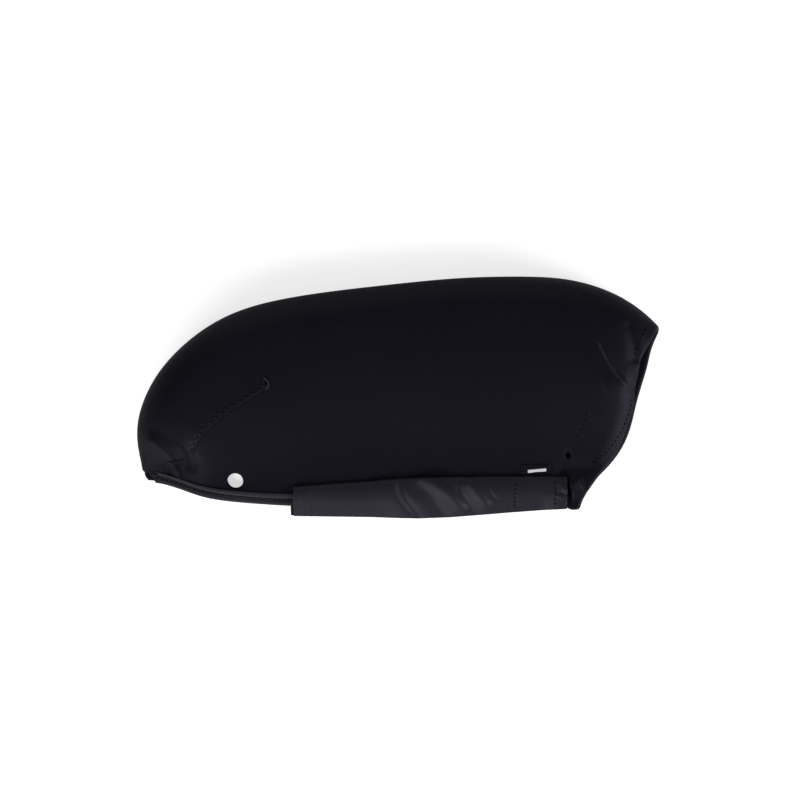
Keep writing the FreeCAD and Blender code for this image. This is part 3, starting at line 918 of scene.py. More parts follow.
@dataclass(frozen=True)
class Hole:
    """A round hole cut through a panel."""

    middle: Place
    radius: float
    cells: int
    reach: int

    def open(self, sheet: FoldedSheet, ribs: Array, rows: Array, side: Side) -> Array:
        """Moves a grid's lines onto the hole's circle and says which cells it takes away.

        The square ring of grid points that is `cells` from the middle goes onto the circle, evenly spaced,
        and the rings beyond go back to their own places by a soft step over `reach` cells.

        Args:
            sheet: the folded sheet.
            ribs: rib number of each grid point; changed in place.
            rows: v of each grid point; changed in place.
            side: the panel that the hole is in.

        Returns:
            True for each cell, by its first corner, that the hole takes away.
        """
        rib, v = sheet.locate(*self.middle, side)
        spacing_rib = np.abs(np.diff(ribs, axis=0)).mean()
        spacing_v = np.abs(np.diff(rows, axis=1)).mean()
        gap = ((ribs - rib) / spacing_rib) ** 2 + ((rows - v) / spacing_v) ** 2
        row, column = np.unravel_index(gap.argmin(), gap.shape)
        reach = self.cells + self.reach
        i = np.arange(max(row - reach, 0), min(row + reach + 1, ribs.shape[0]))
        j = np.arange(max(column - reach, 0), min(column + reach + 1, ribs.shape[1]))
        di, dj = np.meshgrid(i - row, j - column, indexing="ij")
        ring = np.maximum(np.abs(di), np.abs(dj))
        safe = np.maximum(ring, 1)
        turn = np.where(
            dj == -ring,
            di + ring,
            np.where(di == ring, dj + 3 * ring, np.where(dj == ring, 5 * ring - di, 7 * ring - dj)),
        )
        angle = 2 * math.pi * (turn / (8 * safe)) - 0.75 * math.pi
        block = np.ix_(i, j)
        here = sheet.point(ribs[block], rows[block])[..., :2]
        near = sheet.point(np.array([rib - 0.05, rib + 0.05]), v)[:, :2]
        axis_i = unit(near[1] - near[0])
        beyond = sheet.point(rib, np.array([v - 0.01, v + 0.01]))[:, :2]
        axis_j = unit(beyond[1] - beyond[0])
        axis_j = unit(axis_j - axis_i * (axis_i @ axis_j))
        cell = np.linalg.norm(np.diff(here, axis=0), axis=-1).mean()
        radius = self.radius + (ring - self.cells) * cell
        circle = np.array(self.middle) + radius[..., None] * (
            np.cos(angle)[..., None] * axis_i + np.sin(angle)[..., None] * axis_j
        )
        keep = smooth((ring - self.cells) / self.reach)[..., None]
        target = circle * (1 - keep) + here * keep
        found_rib, found_v = sheet.locate(target[..., 0], target[..., 1], side)
        used = ring >= self.cells
        ribs[block] = np.where(used, found_rib, ribs[block])
        rows[block] = np.where(used, np.clip(found_v, -1, 1), rows[block])
        missing = np.zeros(ribs.shape, bool)
        missing[row - self.cells : row + self.cells, column - self.cells : column + self.cells] = True
        return missing


@dataclass(frozen=True)
class Panels:
    """The neoprene sheet in two pieces that meet on the underside: the back, and the front with the fold."""

    meeting: float = -0.12
    hem: float = 8.0
    hem_thickness: float = 2.4
    seam_gap: float = 0.24
    front_eyelet: Place = (-135.8, -69.6)
    back_eyelet: Place = (-136.0, -68.2)
    eyelet_radii: Span = (7.0, 7.4)
    vent: Place = (140.3, -48.1)
    vent_radius: float = 2.7
    rim_start: float = 12.6
    front_rim: tuple[float, ...] = (-0.7, -3.0, -4.2, -7.0, -5.9, -2.2, -1.9, -1.9, -2.9, -2.3, 0.9)
    back_rim: tuple[float, ...] = (-0.7, 0.9, 0.6, 2.3, 1.7, 0.3, 0.7, 1.1, 0.9, 0.6, 0.6)

    def _depth(self, sheet: FoldedSheet) -> float:
        """Thickness of the sheet with its hem rolled under it."""
        return sheet.neoprene + self.seam_gap + self.hem_thickness

    def _per_rib(self, sheet: FoldedSheet, v: Array) -> Array:
        """Millimetres from one rib to the next, near the cuff."""
        step = 0.2
        return np.linalg.norm(sheet.point(sheet.last, v) - sheet.point(sheet.last - step, v), axis=-1) / step

    def _layer(self, sheet: FoldedSheet, name: str, ribs: Array, rows: Array, missing: Array) -> Layer:
        """Outer and inner faces of the sheet, with the cuff's edge rolled inwards into a hem.

        Past the last rib the outer face goes round a half circle and back under the sheet for the hem's
        width; the inner face follows it inside.
        """
        end, v = ribs[-1], rows[-1]
        normal, run = sheet.normal(end, v), unit(sheet.point(end, v) - sheet.point(end - 0.05, v))
        angles = np.linspace(0, math.pi, 9)[1:, None, None]
        back = np.linspace(0, self.hem, 5)[1:, None] / self._per_rib(sheet, v)

        def face(start: float, radius: float) -> Array:
            """Points of one face: flat, round a half circle from its offset, and back under the sheet."""
            centre = sheet.off(end, v, start - radius)
            turn = centre + (normal * np.cos(angles) + run * np.sin(angles)) * radius
            under = sheet.off(end - back, v, start - 2 * radius)
            return np.concatenate([sheet.off(ribs, rows, start), turn, under])

        outer = above_floor(face(0.0, self._depth(sheet) / 2))
        inner = face(-sheet.neoprene, self.seam_gap / 2)
        extra = np.zeros((len(outer) - len(missing), missing.shape[1]), bool)
        return Layer(name, outer, inner, missing=np.concatenate([missing, extra]))

    def _grid(
        self, sheet: FoldedSheet, ribs: int, start: float, end: float, count: int
    ) -> tuple[Array, Array]:
        """Rib numbers and v values of a grid, whose last line leaves room for the cuff's rolled edge.

        The cuff's rim stands out of or behind its rib by millimetres given at tenths of v, most of all where
        the dart draws it in; the shift fades out by a soft step over the ribs before.
        """
        rows, numbers = np.meshgrid(np.linspace(start, end, count), sheet.even_ribs(ribs))
        v = rows[0]
        rims = np.stack([self.front_rim, self.back_rim], axis=1)
        offsets = UnitSpline(rims).at((len(rims) - 1) * np.abs(v))
        shift = np.where(v >= 0, offsets[:, 0], offsets[:, 1]) - self._depth(sheet) / 2
        fade = smooth((numbers - self.rim_start) / (sheet.last - self.rim_start))
        return numbers + fade * shift / self._per_rib(sheet, v), rows

    def build(self, sheet: FoldedSheet, wardrobe: Wardrobe) -> list[Object]:
        """Builds and dresses both pieces; the back is attached to the body and the front's placing is baked into
        its mesh.
        """
        ribs, rows = self._grid(sheet, 290, self.meeting, 1.0, 136)
        missing = Hole(self.front_eyelet, self.eyelet_radii[0], 4, 7).open(sheet, ribs, rows, Side.FRONT)
        missing |= Hole(self.vent, self.vent_radius, 2, 5).open(sheet, ribs, rows, Side.FRONT)
        front = self._layer(sheet, "neoprene_front", ribs, rows, missing).build()
        ribs, rows = self._grid(sheet, 220, -1.0, self.meeting, 60)
        missing = Hole(self.back_eyelet, self.eyelet_radii[1], 4, 7).open(sheet, ribs, rows, Side.BACK)
        back = self._layer(sheet, "neoprene_back", ribs, rows, missing).build()
        return [
            wardrobe.fit(
                front, JERSEY, "neoprene", LIP.bend, "front_panel", "front_lip", "lip_hem", inner=LINING
            ),
            wardrobe.fit(back, JERSEY, "neoprene", with_body, "back_panel", "cuff_hem", inner=LINING),
        ]


@dataclass(frozen=True)
class Bindings:
    """The woven tapes folded round the mouth's two edges, and the stitches of the wide one."""

    width: float = 8.0
    skin: float = 0.7
    gap: float = 0.2
    piping: float = 1.5
    stitch_inset: float = 3.2
    pitch: float = 3.9

    def _tape(self, sheet: FoldedSheet, name: str, span: Span, side: Side, width: float) -> Layer:
        """A tape whose section is a U: straight on both faces and a half circle past the edge."""
        middle = -sheet.neoprene / 2
        flat = np.linspace(width, 0.6, max(4, round(width * 1.5)))
        angles = np.linspace(0, math.pi, 11)

        def grid(radius: float, count: int) -> Array:
            """Points of the tape at a distance from the middle of the neoprene's thickness."""
            inset = np.concatenate([flat, -radius * np.sin(angles), flat[::-1]])
            top, bottom = np.full(len(flat), middle + radius), np.full(len(flat), middle - radius)
            offset = np.concatenate([top, middle + radius * np.cos(angles), bottom])
            rib = np.linspace(*span, count)[:, None]
            length = sheet.length(rib, side)
            v = sheet.to_v(rib, side, np.maximum(length - inset[None, :], 0.5))
            return sheet.off(rib, v, offset)

        slack = sheet.neoprene / 2 + self.gap
        count = round((span[1] - span[0]) * 22)
        return Layer(name, grid(slack + self.skin, count), grid(slack, count), bulge=0.5)

    def _stitches(self, sheet: FoldedSheet, span: Span) -> Thread:
        """A row of stitches on the back binding's upper side, which shows in the mouth."""
        rib = np.linspace(*span, 600)
        v = sheet.to_v(rib, Side.BACK, sheet.length(rib, Side.BACK) - self.stitch_inset)
        line = sheet.off(rib, v, -sheet.neoprene - self.gap - self.skin - 0.15)
        return Thread("mouth_binding_threads", stitch_row(line, self.pitch))

    def build(self, sheet: FoldedSheet, wardrobe: Wardrobe) -> list[Object]:
        """Builds and dresses the two tapes and the stitches; the back tape and the stitches are attached to the
        body, and the piping's placing is baked into its mesh.
        """
        back = self._tape(sheet, "mouth_binding_back", (0.5, 13.0), Side.BACK, self.width).build()
        front = self._tape(sheet, "mouth_piping_front", (0.8, 6.3), Side.FRONT, self.piping).build()
        threads = self._stitches(sheet, (0.7, 6.4)).build()
        return [
            wardrobe.fit(back, TAPE, "binding_tape", with_body, "back_mouth_binding"),
            wardrobe.fit(front, TAPE, "binding_tape", LIP.bend, "front_mouth_piping"),
            wardrobe.fit(threads, THREAD, "thread", with_body),
        ]


class Stitch(enum.Enum):
    """How a seam's thread runs."""

    ZIGZAG = "zigzag"
    STRAIGHT = "straight"


@dataclass(frozen=True)
class SeamRoute:
    """A dart's flat seam: its names and route, its band's height, and its raised edge's height and place."""

    name: str
    node: str
    path: Path
    rise: float
    edge_rise: float
    edge_place: float
    stitch: Stitch


@dataclass(frozen=True)
class DartSeams:
    """The flat seams that close the darts, each a band with its threads, and the tack at one's end."""

    width: float = 6.0
    sunk: float = 0.12
    zigzag: float = 3.0
    tack: Path = ((-111.4, 16.2), (-107.8, 12.4), (-107.6, 9.4), (-109.6, 6.6))
    gusset: tuple[Path, ...] = (
        ((-192.0, -52.6), (-185.0, -51.4), (-178.5, -52.0)),
        ((-185.5, -55.0), (-182.0, -59.5), (-180.5, -66.0)),
    )
    routes: tuple[SeamRoute, ...] = (
        SeamRoute("nose_dart", "nose_dart_seam", NOSE_DART.path[:5], 0.4, 1.0, 2.0, Stitch.ZIGZAG),
        SeamRoute(
            "cuff_dart", "cuff_dart_seam",
            ((163.5, 45.5), (168.5, 35.0), (173.5, 26.0), (179.5, 18.5), (187.0, 10.5)), 0.15, 0.4, 0.0,
            Stitch.STRAIGHT,
        ),
    )

    def _band(self, sheet: FoldedSheet, route: SeamRoute) -> Layer:
        """A band along a route: rise (1 - (w / half)^4) across it, and a soft ridge at its raised edge."""
        line, left = route_and_left(route.path, 1.2)
        half = self.width / 2
        across = np.linspace(-half, half, 15)
        x, y = (line[:, n, None] + left[:, n, None] * across for n in (0, 1))
        crown = route.rise * (1 - (across / half) ** 4)
        crown = crown + route.edge_rise * bump(across - route.edge_place, 0.8)
        return laid_on(sheet, f"{route.name}_band", x, y, crown - self.sunk, -self.sunk - 0.3)

    def _zigzag(self, sheet: FoldedSheet, path: Path, centre: float, half: float, height: float) -> Array:
        """A thread that swings across a line beside the route: an arcsine of a sine, turning softly."""
        line, left = route_and_left(path, self.zigzag / 6)
        turn = np.sin(np.arange(len(line)) * math.pi / 6)
        swing = centre + half * np.arcsin(turn * 0.98) / (math.pi / 2)
        return sheet.over(*(line + left * swing[:, None]).T, height)

    def _threads(self, sheet: FoldedSheet, route: SeamRoute) -> list[Array]:
        """The threads of a seam: two zigzags, one of them over the raised edge, or two rows of stitches."""
        if route.stitch is Stitch.ZIGZAG:
            return [
                self._zigzag(sheet, route.path, -0.9, 1.3, 0.45),
                self._zigzag(sheet, route.path, route.edge_place + 1.1, 0.4, 0.3),
            ]
        line, left = route_and_left(route.path, 0.4)
        rows = [sheet.over(*(line + left * swing).T, 0.15) for swing in (-1.9, 1.9)]
        return [stitch for row in rows for stitch in stitch_row(row, 3.3, 0.5)]

    def build(self, sheet: FoldedSheet, wardrobe: Wardrobe) -> list[Object]:
        """Builds and dresses the bands and their threads, and bakes their placing into their meshes."""
        made = []
        for route in self.routes:
            band = self._band(sheet, route).build()
            made.append(wardrobe.fit(band, SEAM_TAPE, "binding_tape", LIP.bend, route.node))
            threads = Thread(f"{route.name}_threads", self._threads(sheet, route), 0.32).build()
            made.append(wardrobe.fit(threads, THREAD, "thread", LIP.bend))
        arc = UnitSpline(self.tack).even(0.6)
        tack = Thread("nose_dart_tack", [sheet.over(*arc.T, 0.5)], 0.75, sides=10).build()
        made.append(wardrobe.fit(tack, TAPE, "thread", LIP.bend))
        seams = [self._zigzag(sheet, path, 0.0, 0.9, 0.3) for path in self.gusset]
        gusset = Thread("nose_gusset_threads", seams, 0.28).build()
        return [*made, wardrobe.fit(gusset, THREAD, "thread", LIP.bend)]


FLAP_CREASES = (
    # three slanting folds, each a ridge whose upper right flank is steep and ends in a sharp valley
    Crease(((-5.4, -66.0), (-4.8, -78.0), (-1.5, -87.0), (8.0, -103.0)), 1.5, 13.0, 4.6, taper=0.1),
    Crease(((-0.2, -66.0), (1.0, -77.2), (6.0, -86.5), (19.5, -103.0)), -1.2, 2.4, 3.6, taper=0.1),
    Crease(((8.0, -71.0), (18.0, -76.0), (27.0, -84.5), (38.0, -99.0)), -0.9, 7.0, 5.0, taper=0.3),
    Crease(
        ((10.0, -66.0), (25.7, -68.5), (37.4, -76.4), (45.5, -85.0), (56.0, -98.0)), 3.2, 6.5, 5.2, taper=0.2
    ),
    Crease(((48.4, -66.5), (50.2, -78.5), (54.4, -85.0), (61.5, -95.0)), -1.3, 2.2, 2.8, taper=0.4),
    Crease(((25.0, -86.5), (32.0, -91.0), (42.0, -101.0)), -0.6, 4.5, 4.5, taper=0.4),
    Crease(((54.5, -65.5), (62.0, -74.4), (67.6, -82.4), (76.0, -94.0)), 2.9, 5.6, 4.8, taper=0.25),
    Crease(((68.0, -66.0), (72.4, -74.6), (76.2, -81.6), (83.5, -86.2)), -1.3, 2.2, 2.8, taper=0.4),
    # the two columns of stitches
    Crease(((96.3, -69.0), (96.3, -90.5)), -0.3, 0.9, ripple=0.3, ripple_length=3.4, taper=0.05),
    Crease(((130.0, -71.5), (130.0, -90.0)), -0.2, 0.9, ripple=0.3, ripple_length=3.4, taper=0.05),
    # gathers at the sewn right end
    Crease(((129.5, -71.0), (134.5, -72.5), (139.6, -77.5)), 1.0, 2.4, 1.4),
    Crease(((131.0, -78.2), (135.5, -79.0), (139.6, -81.5)), -0.8, 1.5, 1.0),
    Crease(((126.0, -80.0), (132.0, -81.5), (138.0, -84.5)), 0.45, 1.3),
    Crease(((131.5, -90.5), (134.2, -86.5), (136.2, -83.0)), 0.5, 1.2),
    Crease(((135.2, -91.5), (137.2, -88.0), (138.4, -84.0)), 0.5, 1.0),
)


@dataclass(frozen=True)
class Flap:
    """The nylon flap that closes the long edge: two layers, a turned hem at its left end, and stitches."""

    nylon: float = 0.55
    layer_gap: float = 0.2
    # heights: of the sewn edge over the panel, of the belly, and of the free edge, which rises twice along x
    stand: float = 2.2
    belly: float = 1.2
    free_height: float = 2.0
    free_rises: tuple[tuple[float, float, float], ...] = ((3.5, 30.0, 60.0), (5.5, 116.0, 20.0))
    # the soft roll at the sewn edge, and the sharper turn of its very rim
    roll: float = 1.5
    roll_share: float = 0.3
    rim_drop: float = 1.3
    rim_share: float = 0.06
    top: Path = (
        (-88.8, -74.0), (-57.0, -71.6), (-24.0, -69.4), (-7.5, -67.8), (25.7, -66.2), (59.0, -65.7),
        (88.0, -65.4), (121.0, -65.2), (139.4, -65.8),
    )
    bottom: Path = (
        (-88.8, -98.8), (-57.0, -99.2), (-24.0, -99.6), (-3.0, -100.3), (16.0, -100.8), (42.0, -99.8),
        (67.0, -97.8), (92.0, -95.7), (118.0, -93.8), (139.4, -92.4),
    )
    outer_left: float = -87.6
    inner_left: float = -87.0
    inner_sliver: float = 2.9
    hem_width: float = 14.6
    hem_step: float = 0.45
    pucker: float = 0.22
    pucker_length: float = 4.4
    stitch_columns: tuple[float, ...] = (96.3, 130.0)
    # the cloth bends between these two places, in metres
    bend_start: tuple[float, float, float] = (0.0, -0.0655, 0.014)
    bend_end: tuple[float, float, float] = (0.0, -0.0745, 0.014)

    def hem(self, x: Array, y: Array) -> Array:
        """The turned hem at the left end: a soft step where it ends, and crossed sines as puckers on it."""
        inside = x - self.outer_left
        wave = 2 * math.pi / self.pucker_length
        puckers = np.sin(inside * wave) * np.sin(y * wave)
        return smooth((self.hem_width + 0.8 - inside) / 1.6) * (self.hem_step + self.pucker * puckers)

    def sewn_edge(self, x: Array) -> Array:
        """The y of the edge that is sewn to the front panel."""
        return np.interp(x, *np.transpose(self.top))

    def point(self, x: Array, share: Array, sheet: FoldedSheet, offset: Array) -> Array:
        """Points of the flap: share is 0 at the sewn edge and 1 at the free edge.

        The height goes from its stand over the front panel to the free edge's own height as share squared,
        with a slight belly as a squared sine, the creases, a roll at the sewn edge as a square, and a quarter
        circle at its very rim.
        """
        x, share = np.broadcast_arrays(np.asarray(x, float), np.asarray(share, float))
        top = self.sewn_edge(x)
        y = top + (np.interp(x, *np.transpose(self.bottom)) - top) * share
        knots = np.linspace(self.top[0][0], self.top[-1][0], 60)
        high = np.interp(x, knots, sheet.over(knots, self.sewn_edge(knots), 0.0)[:, 2]) + self.stand
        low = self.free_height + sum(rise * smooth((x - start) / run) for rise, start, run in self.free_rises)
        height = high + (low - high) * share**2 + self.belly * np.sin(math.pi * share) ** 2
        height = height - self.roll * np.maximum(1 - share / self.roll_share, 0) ** 2
        rim = self.rim_drop * (1 - np.sqrt(1 - (1 - np.minimum(share / self.rim_share, 1)) ** 2))
        relief = sum(crease.relief(x, y) for crease in FLAP_CREASES)
        return np.stack([x, y, height + relief - rim + offset], axis=-1)

    def outer(self, x: Array, share: Array, sheet: FoldedSheet, offset: Array) -> Array:
        """Points that stand off the outer layer's upper face."""
        place = self.point(x, share, sheet, offset + 2 * self.nylon + self.layer_gap)
        place[..., 2] += self.hem(place[..., 0], place[..., 1])
        return place

    def bend(self, obj: Object) -> Object:
        """Bakes the piece's placing into its mesh."""
        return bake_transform(obj)

    def _stitches(self, sheet: FoldedSheet) -> Thread:
        """The two columns of stitches that hold the hook patch."""
        share = np.linspace(0.2, 0.88, 120)
        columns = [stitch_row(self.outer(x, share, sheet, 0.12), 3.4) for x in self.stitch_columns]
        return Thread("flap_threads", sum(columns, []), 0.28)

    def build(self, sheet: FoldedSheet, wardrobe: Wardrobe) -> list[Object]:
        """Builds and dresses the two layers and the stitches, and bakes their placing into their meshes."""
        right = self.top[-1][0]
        x, share = np.meshgrid(np.linspace(self.outer_left, right, 330), np.linspace(0, 1, 52), indexing="ij")
        upper, lower = self.outer(x, share, sheet, 0.0), self.outer(x, share, sheet, -self.nylon)
        outer = Layer("flap_outer", upper, lower, bulge=0.8).build()
        run, share = np.meshgrid(np.linspace(0, 1, 220), np.linspace(0.03, 0.975, 40), indexing="ij")
        left = self.inner_left - self.inner_sliver * smooth((share - 0.52) / 0.16)
        x = left + (right - 2 - left) * run
        upper, lower = self.point(x, share, sheet, self.nylon), self.point(x, share, sheet, 0.0)
        inner = Layer("flap_inner", upper, lower, bulge=0.8).build()
        threads = self._stitches(sheet).build()
        return [
            wardrobe.fit(outer, NYLON, "nylon", self.bend, "closure_flap", inner=COATING),
            wardrobe.fit(inner, COATING, "nylon", self.bend, "flap_lining"),
            wardrobe.fit(threads, THREAD, "thread", self.bend, "flap_stitches"),
        ]


def rectangle(
    middle: Place, length: float, width: float, degrees: float, columns: int, rows: int
) -> tuple[Array, Array, Array, Array]:
    """A turned rectangle of places in plan.

    Returns:
        x and y of the places, and how far each lies from the middle along and across.
    """
    along, across = np.meshgrid(
        np.linspace(-length / 2, length / 2, columns), np.linspace(-width / 2, width / 2, rows), indexing="ij"
    )
    c, s = math.cos(math.radians(degrees)), math.sin(math.radians(degrees))
    return middle[0] + c * along - s * across, middle[1] + s * along + c * across, along, across


@dataclass(frozen=True)
class Label:
    """The satin label beside the flap: a folded ribbon with a plain pale bar where a name would be."""

    middle: Place = (113.3, -59.1)
    length: float = 24.0
    width: float = 7.2
    turn: float = 1.0
    bar_middle: Place = (114.6, -60.6)
    bar_length: float = 15.2
    bar_width: float = 2.5
    bar_turn: float = 5.0

    def build(self, sheet: FoldedSheet, wardrobe: Wardrobe) -> list[Object]:
        """Builds the ribbon and the bar.

        The ribbon is pillowed, so it falls off to its rims as 1 - (w / half)^6 both ways, and it is folded at
        its left end, which makes a soft ridge there.
        """
        x, y, along, across = rectangle(self.middle, self.length, self.width, self.turn, 61, 25)
        pillow = (1 - (2 * np.abs(along) / self.length) ** 6) * (1 - (2 * np.abs(across) / self.width) ** 6)
        fold = 0.35 * bump(along + self.length / 2 - 1.6, 0.9)
        fold = fold + 0.2 * bump(across + self.width / 2 - 0.8, 0.5)
        ribbon = laid_on(sheet, "woven_label_ribbon", x, y, 0.45 + 0.35 * pillow + fold, 0.12).build()
        x, y, _, across = rectangle(self.bar_middle, self.bar_length, self.bar_width, self.bar_turn, 41, 9)
        crown = 0.12 * (1 - (2 * np.abs(across) / self.bar_width) ** 4)
        bar = laid_on(sheet, "woven_label_bar", x, y, 0.86 + crown, 0.7).build()
        return [
            wardrobe.fit(ribbon, SATIN, "label", LIP.bend, "woven_label"),
            wardrobe.fit(bar, PALE_WEFT, "label", LIP.bend),
        ]


@dataclass(frozen=True)
class Trimmings:
    """The seam allowance under the flap's sewn edge, and the small tab behind the front panel."""

    flap: Flap
    seam_span: Span = (-76.8, 138.4)
    seam_width: Span = (1.0, 6.0)
    tab_middle: Place = (151.0, -23.5)
    tab_length: float = 21.0
    tab_width: float = 7.0
    tab_turn: float = 69.0
    tab_thickness: float = 1.2

    def build(self, sheet: FoldedSheet, wardrobe: Wardrobe) -> list[Object]:
        """Builds both as thin layers on the sheet's faces; a sine that grows outwards waves the allowance."""
        run, width = np.linspace(*self.seam_span, 150), np.linspace(*self.seam_width, 7)
        x, down = np.meshgrid(run, width, indexing="ij")
        wave = 0.12 * np.sin(x / 1.9) * (down - self.seam_width[0]) / np.ptp(self.seam_width)
        y = self.flap.sewn_edge(x) - down
        seam = laid_on(sheet, "flap_seam_allowance", x, y, 0.8 + wave, 0.15 + wave).build()
        x, y, _, _ = rectangle(self.tab_middle, self.tab_length, self.tab_width, self.tab_turn, 31, 11)
        top = -sheet.neoprene - 0.15
        tab = laid_on(sheet, "inner_tab_tape", x, y, top, top - self.tab_thickness).build()
        return [
            wardrobe.fit(seam, COATING, "nylon", LIP.bend, "flap_seam"),
            wardrobe.fit(tab, TAPE, "binding_tape", LIP.bend, "inner_tab"),
        ]


@dataclass(frozen=True)
class Stitching:
    """The rows of stitches on the front panel: the cuff's hem, the tab's, the rim's and the flap's corner."""

    hem_pitch: float = 3.9
    tab_pitch: float = 4.8
    corner_pitch: float = 2.6
    rise: float = 0.1
    radius: float = 0.55
    flatten: float = 0.6
    hem: Path = (
        (193.4, -1.0), (192.2, -8.5), (189.8, -17.0), (184.8, -27.8), (176.0, -41.0), (168.0, -48.8),
        (160.4, -54.6),
    )
    upper_hem: Path = ((204.2, 57.3), (199.2, 49.0), (196.7, 41.5), (194.2, 33.2))
    tab: Path = ((155.3, -11.0), (154.0, -17.8), (151.4, -24.3), (147.2, -33.0))
    corner: Path = ((144.4, -71.5), (144.0, -79.0), (142.6, -86.5))

    def _row(self, sheet: FoldedSheet, path: Path, pitch: float) -> list[Array]:
        """Separate stitches along a path on the front."""
        return stitch_row(sheet.over(*UnitSpline(path).even(0.4).T, self.rise), pitch, 0.5)

    def build(self, sheet: FoldedSheet, wardrobe: Wardrobe) -> list[Object]:
        """Builds and dresses the rows, and bakes their placing into their meshes."""
        hem = self._row(sheet, self.hem, self.hem_pitch) + self._row(sheet, self.upper_hem, self.hem_pitch)
        rows = (
            ("cuff_hem_threads", hem, ["hem_stitches"]),
            ("tab_threads", self._row(sheet, self.tab, self.tab_pitch), ["tab_stitches"]),
            ("flap_corner_threads", self._row(sheet, self.corner, self.corner_pitch), []),
        )
        made = []
        for name, routes, nodes in rows:
            obj = Thread(name, routes, self.radius, flatten=self.flatten).build()
            made.append(wardrobe.fit(obj, THREAD, "thread", LIP.bend, *nodes))
        return made


@dataclass(frozen=True)
class Fastening:
    """The hook patch under the flap and the loop patch that it closes onto."""

    flap: Flap
    thickness: float = 1.0
    span: Span = (98.0, 126.0)
    shares: Span = (0.60, 0.88)
    loop_x: Span = (94.0, 124.0)
    loop_y: Span = (-89.0, -64.0)
    loop_stand: float = 0.94
    hook_rows: int = 6
    hook_columns: int = 15
    hook_height: float = 1.0

    def _hooks(self, sheet: FoldedSheet) -> Thread:
        """Small bent hooks on the lower face: each goes straight down and then round a quarter circle."""
        bend = np.linspace(0, math.pi / 2, 4)
        run = np.concatenate([[0.0], 0.35 * (1 - np.cos(bend))])
        drop = np.concatenate([[0.0], (0.4 + 0.6 * np.sin(bend)) * self.hook_height])
        x, share = np.meshgrid(
            np.linspace(self.span[0] + 1, self.span[1] - 1, self.hook_columns),
            np.linspace(self.shares[0] + 0.02, self.shares[1] - 0.02, self.hook_rows),
            indexing="ij",
        )
        feet = self.flap.point(x, share, sheet, -self.thickness + 0.02).reshape(-1, 3)
        routes = [foot + np.stack([run, 0 * run, -drop], axis=1) for foot in feet]
        return Thread("hook_patch_hooks", routes, 0.16, sides=4)

    def build(self, sheet: FoldedSheet, wardrobe: Wardrobe) -> list[Object]:
        """Builds the two patches and the hooks; the loop patch has a fuzzy face from crossed sines."""
        x, share = np.meshgrid(np.linspace(*self.span, 40), np.linspace(*self.shares, 14), indexing="ij")
        upper, lower = (self.flap.point(x, share, sheet, offset) for offset in (-0.12, -self.thickness))
        base = Layer("hook_patch_base", upper, lower).build()
        x, y = np.meshgrid(np.linspace(*self.loop_x, 76), np.linspace(*self.loop_y, 64), indexing="ij")
        low = -sheet.neoprene - self.loop_stand
        fuzz = 0.18 * np.sin(x * 2.9 + np.sin(y * 1.7)) * np.sin(y * 2.6 + np.sin(x * 2.3))
        loops = laid_on(sheet, "loop_patch_pile", x, y, low, low - self.thickness + fuzz, Side.BACK)
        return [
            wardrobe.fit(base, HOOKS, "hook_tape", self.flap.bend, "hook_patch"),
            wardrobe.fit(self._hooks(sheet).build(), HOOKS, "hook_tape", self.flap.bend),
            wardrobe.fit(loops.build(), LOOPS, "loop_tape", with_body, "loop_patch"),
        ]


# ---------------------------------------------------------------------------- studio


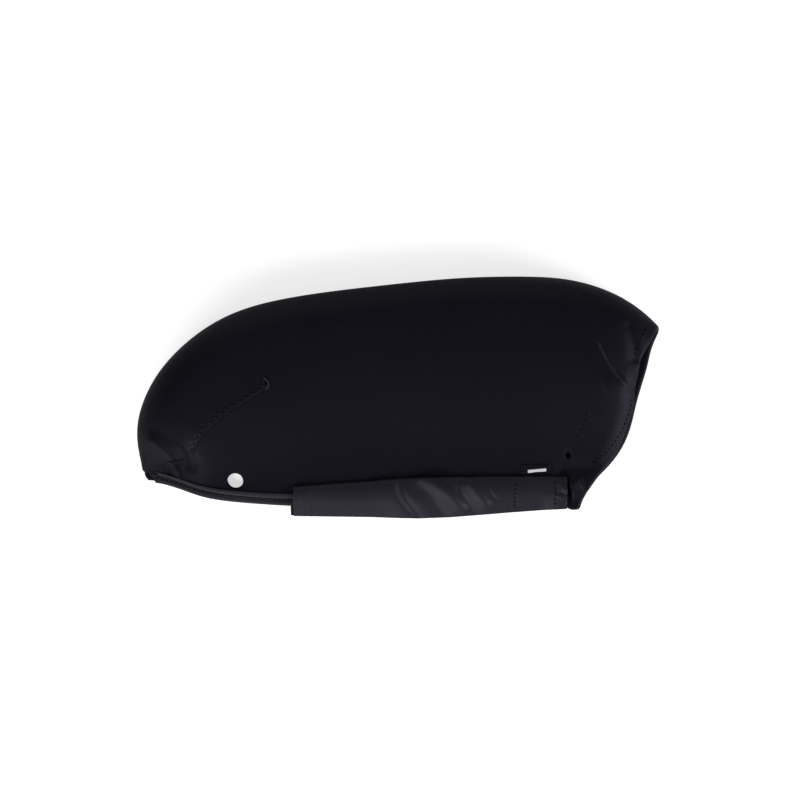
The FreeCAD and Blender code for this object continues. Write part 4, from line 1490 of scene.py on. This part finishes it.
@dataclass(frozen=True)
class Studio:
    """A pale floor, soft lamps and the camera straight above."""

    view_width: float = 0.664
    height: float = 2.5
    middle: Place = (0.0008, -0.0021)
    level: float = 0.014
    floor_reach: float = 6.0
    # strength of the even light that falls on the mitt; the camera sees the room at 1
    even_light: float = 0.22

    def _floor(self) -> None:
        """A large plain floor whose pale colour is brightened for the camera alone, so shadows stay faint."""
        mesh = bpy.data.meshes.new("floor")
        far = self.floor_reach
        corners = [(x * far, y * far, 0) for x, y in ((-1, -1), (1, -1), (1, 1), (-1, 1))]
        mesh.from_pydata(corners, [], [(0, 1, 2, 3)])
        made = bpy.data.materials.new("floor_pale_card")
        tree = fresh_tree(made)
        path = add(tree, "ShaderNodeLightPath")
        seen = add(
            tree, "ShaderNodeMath", {"operation": "MAXIMUM"},
            n0=path.outputs["Is Camera Ray"], n1=path.outputs["Is Transmission Ray"],
        )
        card = add(tree, "ShaderNodeBsdfDiffuse", Color=linear("#e4e4e6"))
        glow = add(tree, "ShaderNodeEmission", Color=(1, 1, 1, 1), Strength=0.62)
        both = add(tree, "ShaderNodeAddShader", n0=card.outputs[0], n1=glow.outputs[0])
        mixed = add(tree, "ShaderNodeMixShader", Fac=seen.outputs[0], n1=card.outputs[0], n2=both.outputs[0])
        add(tree, "ShaderNodeOutputMaterial", Surface=mixed.outputs[0])
        mesh.materials.append(made)
        new_object("floor", mesh)

    def _world(self) -> None:
        """Even light from all round; the camera sees it as white."""
        world = bpy.data.worlds.new("studio")
        bpy.context.scene.world = world
        tree = fresh_tree(world)
        path = add(tree, "ShaderNodeLightPath")
        seen = path.outputs["Is Camera Ray"]
        strength = add(tree, "ShaderNodeMapRange", Value=seen, To_Min=self.even_light, To_Max=1.0)
        back = add(tree, "ShaderNodeBackground", Color=(1, 1, 1, 1), Strength=strength.outputs[0])
        add(tree, "ShaderNodeOutputWorld", Surface=back.outputs[0])

    def _lamp(self, name: str, place: tuple[float, float, float], size: Span, power: float) -> None:
        """An oblong soft lamp that faces the mitt."""
        data = bpy.data.lights.new(name, "AREA")
        data.shape, data.energy = "RECTANGLE", power
        data.size, data.size_y = size
        lamp = new_object(name, data)
        lamp.location = place
        direction = -unit(np.array(place))
        yaw = math.atan2(direction[1], direction[0]) - math.pi / 2
        lamp.rotation_euler = (math.acos(-direction[2]), 0.0, yaw)

    def _camera(self) -> None:
        """A long lens straight above, with +Y up in the picture."""
        data = bpy.data.cameras.new("camera")
        data.sensor_width = 36.0
        data.lens = data.sensor_width * self.height / self.view_width
        data.clip_start, data.clip_end = 0.05, 20.0
        camera = new_object("camera", data)
        camera.location = (*self.middle, self.height + self.level)
        bpy.context.scene.camera = camera

    def build(self) -> None:
        """Sets up the floor, the light and the camera."""
        self._floor()
        self._world()
        self._lamp("left_lamp", (-0.85, -1.3, 0.66), (1.2, 0.45), 22.0)
        self._lamp("right_lamp", (1.5, -0.7, 0.6), (0.7, 0.5), 24.0)
        self._lamp("fill_lamp", (-0.3, 1.6, 0.9), (1.6, 1.0), 8.0)
        self._camera()
        bpy.context.scene.view_settings.view_transform = "Standard"


def main() -> None:
    """Builds the mitt piece by piece, then the studio."""
    logging.basicConfig(level=logging.INFO, format="%(message)s")
    sheet, wardrobe, flap = FoldedSheet(), Wardrobe(), Flap()
    groups = (Panels(), Bindings(), DartSeams(), flap, Label(), Trimmings(flap), Stitching(), Fastening(flap))
    for group in groups:
        for obj in group.build(sheet, wardrobe):
            LOG.info("%s: %d faces", obj.name, len(obj.data.polygons))
    Studio().build()


if __name__ == "__main__":
    main()
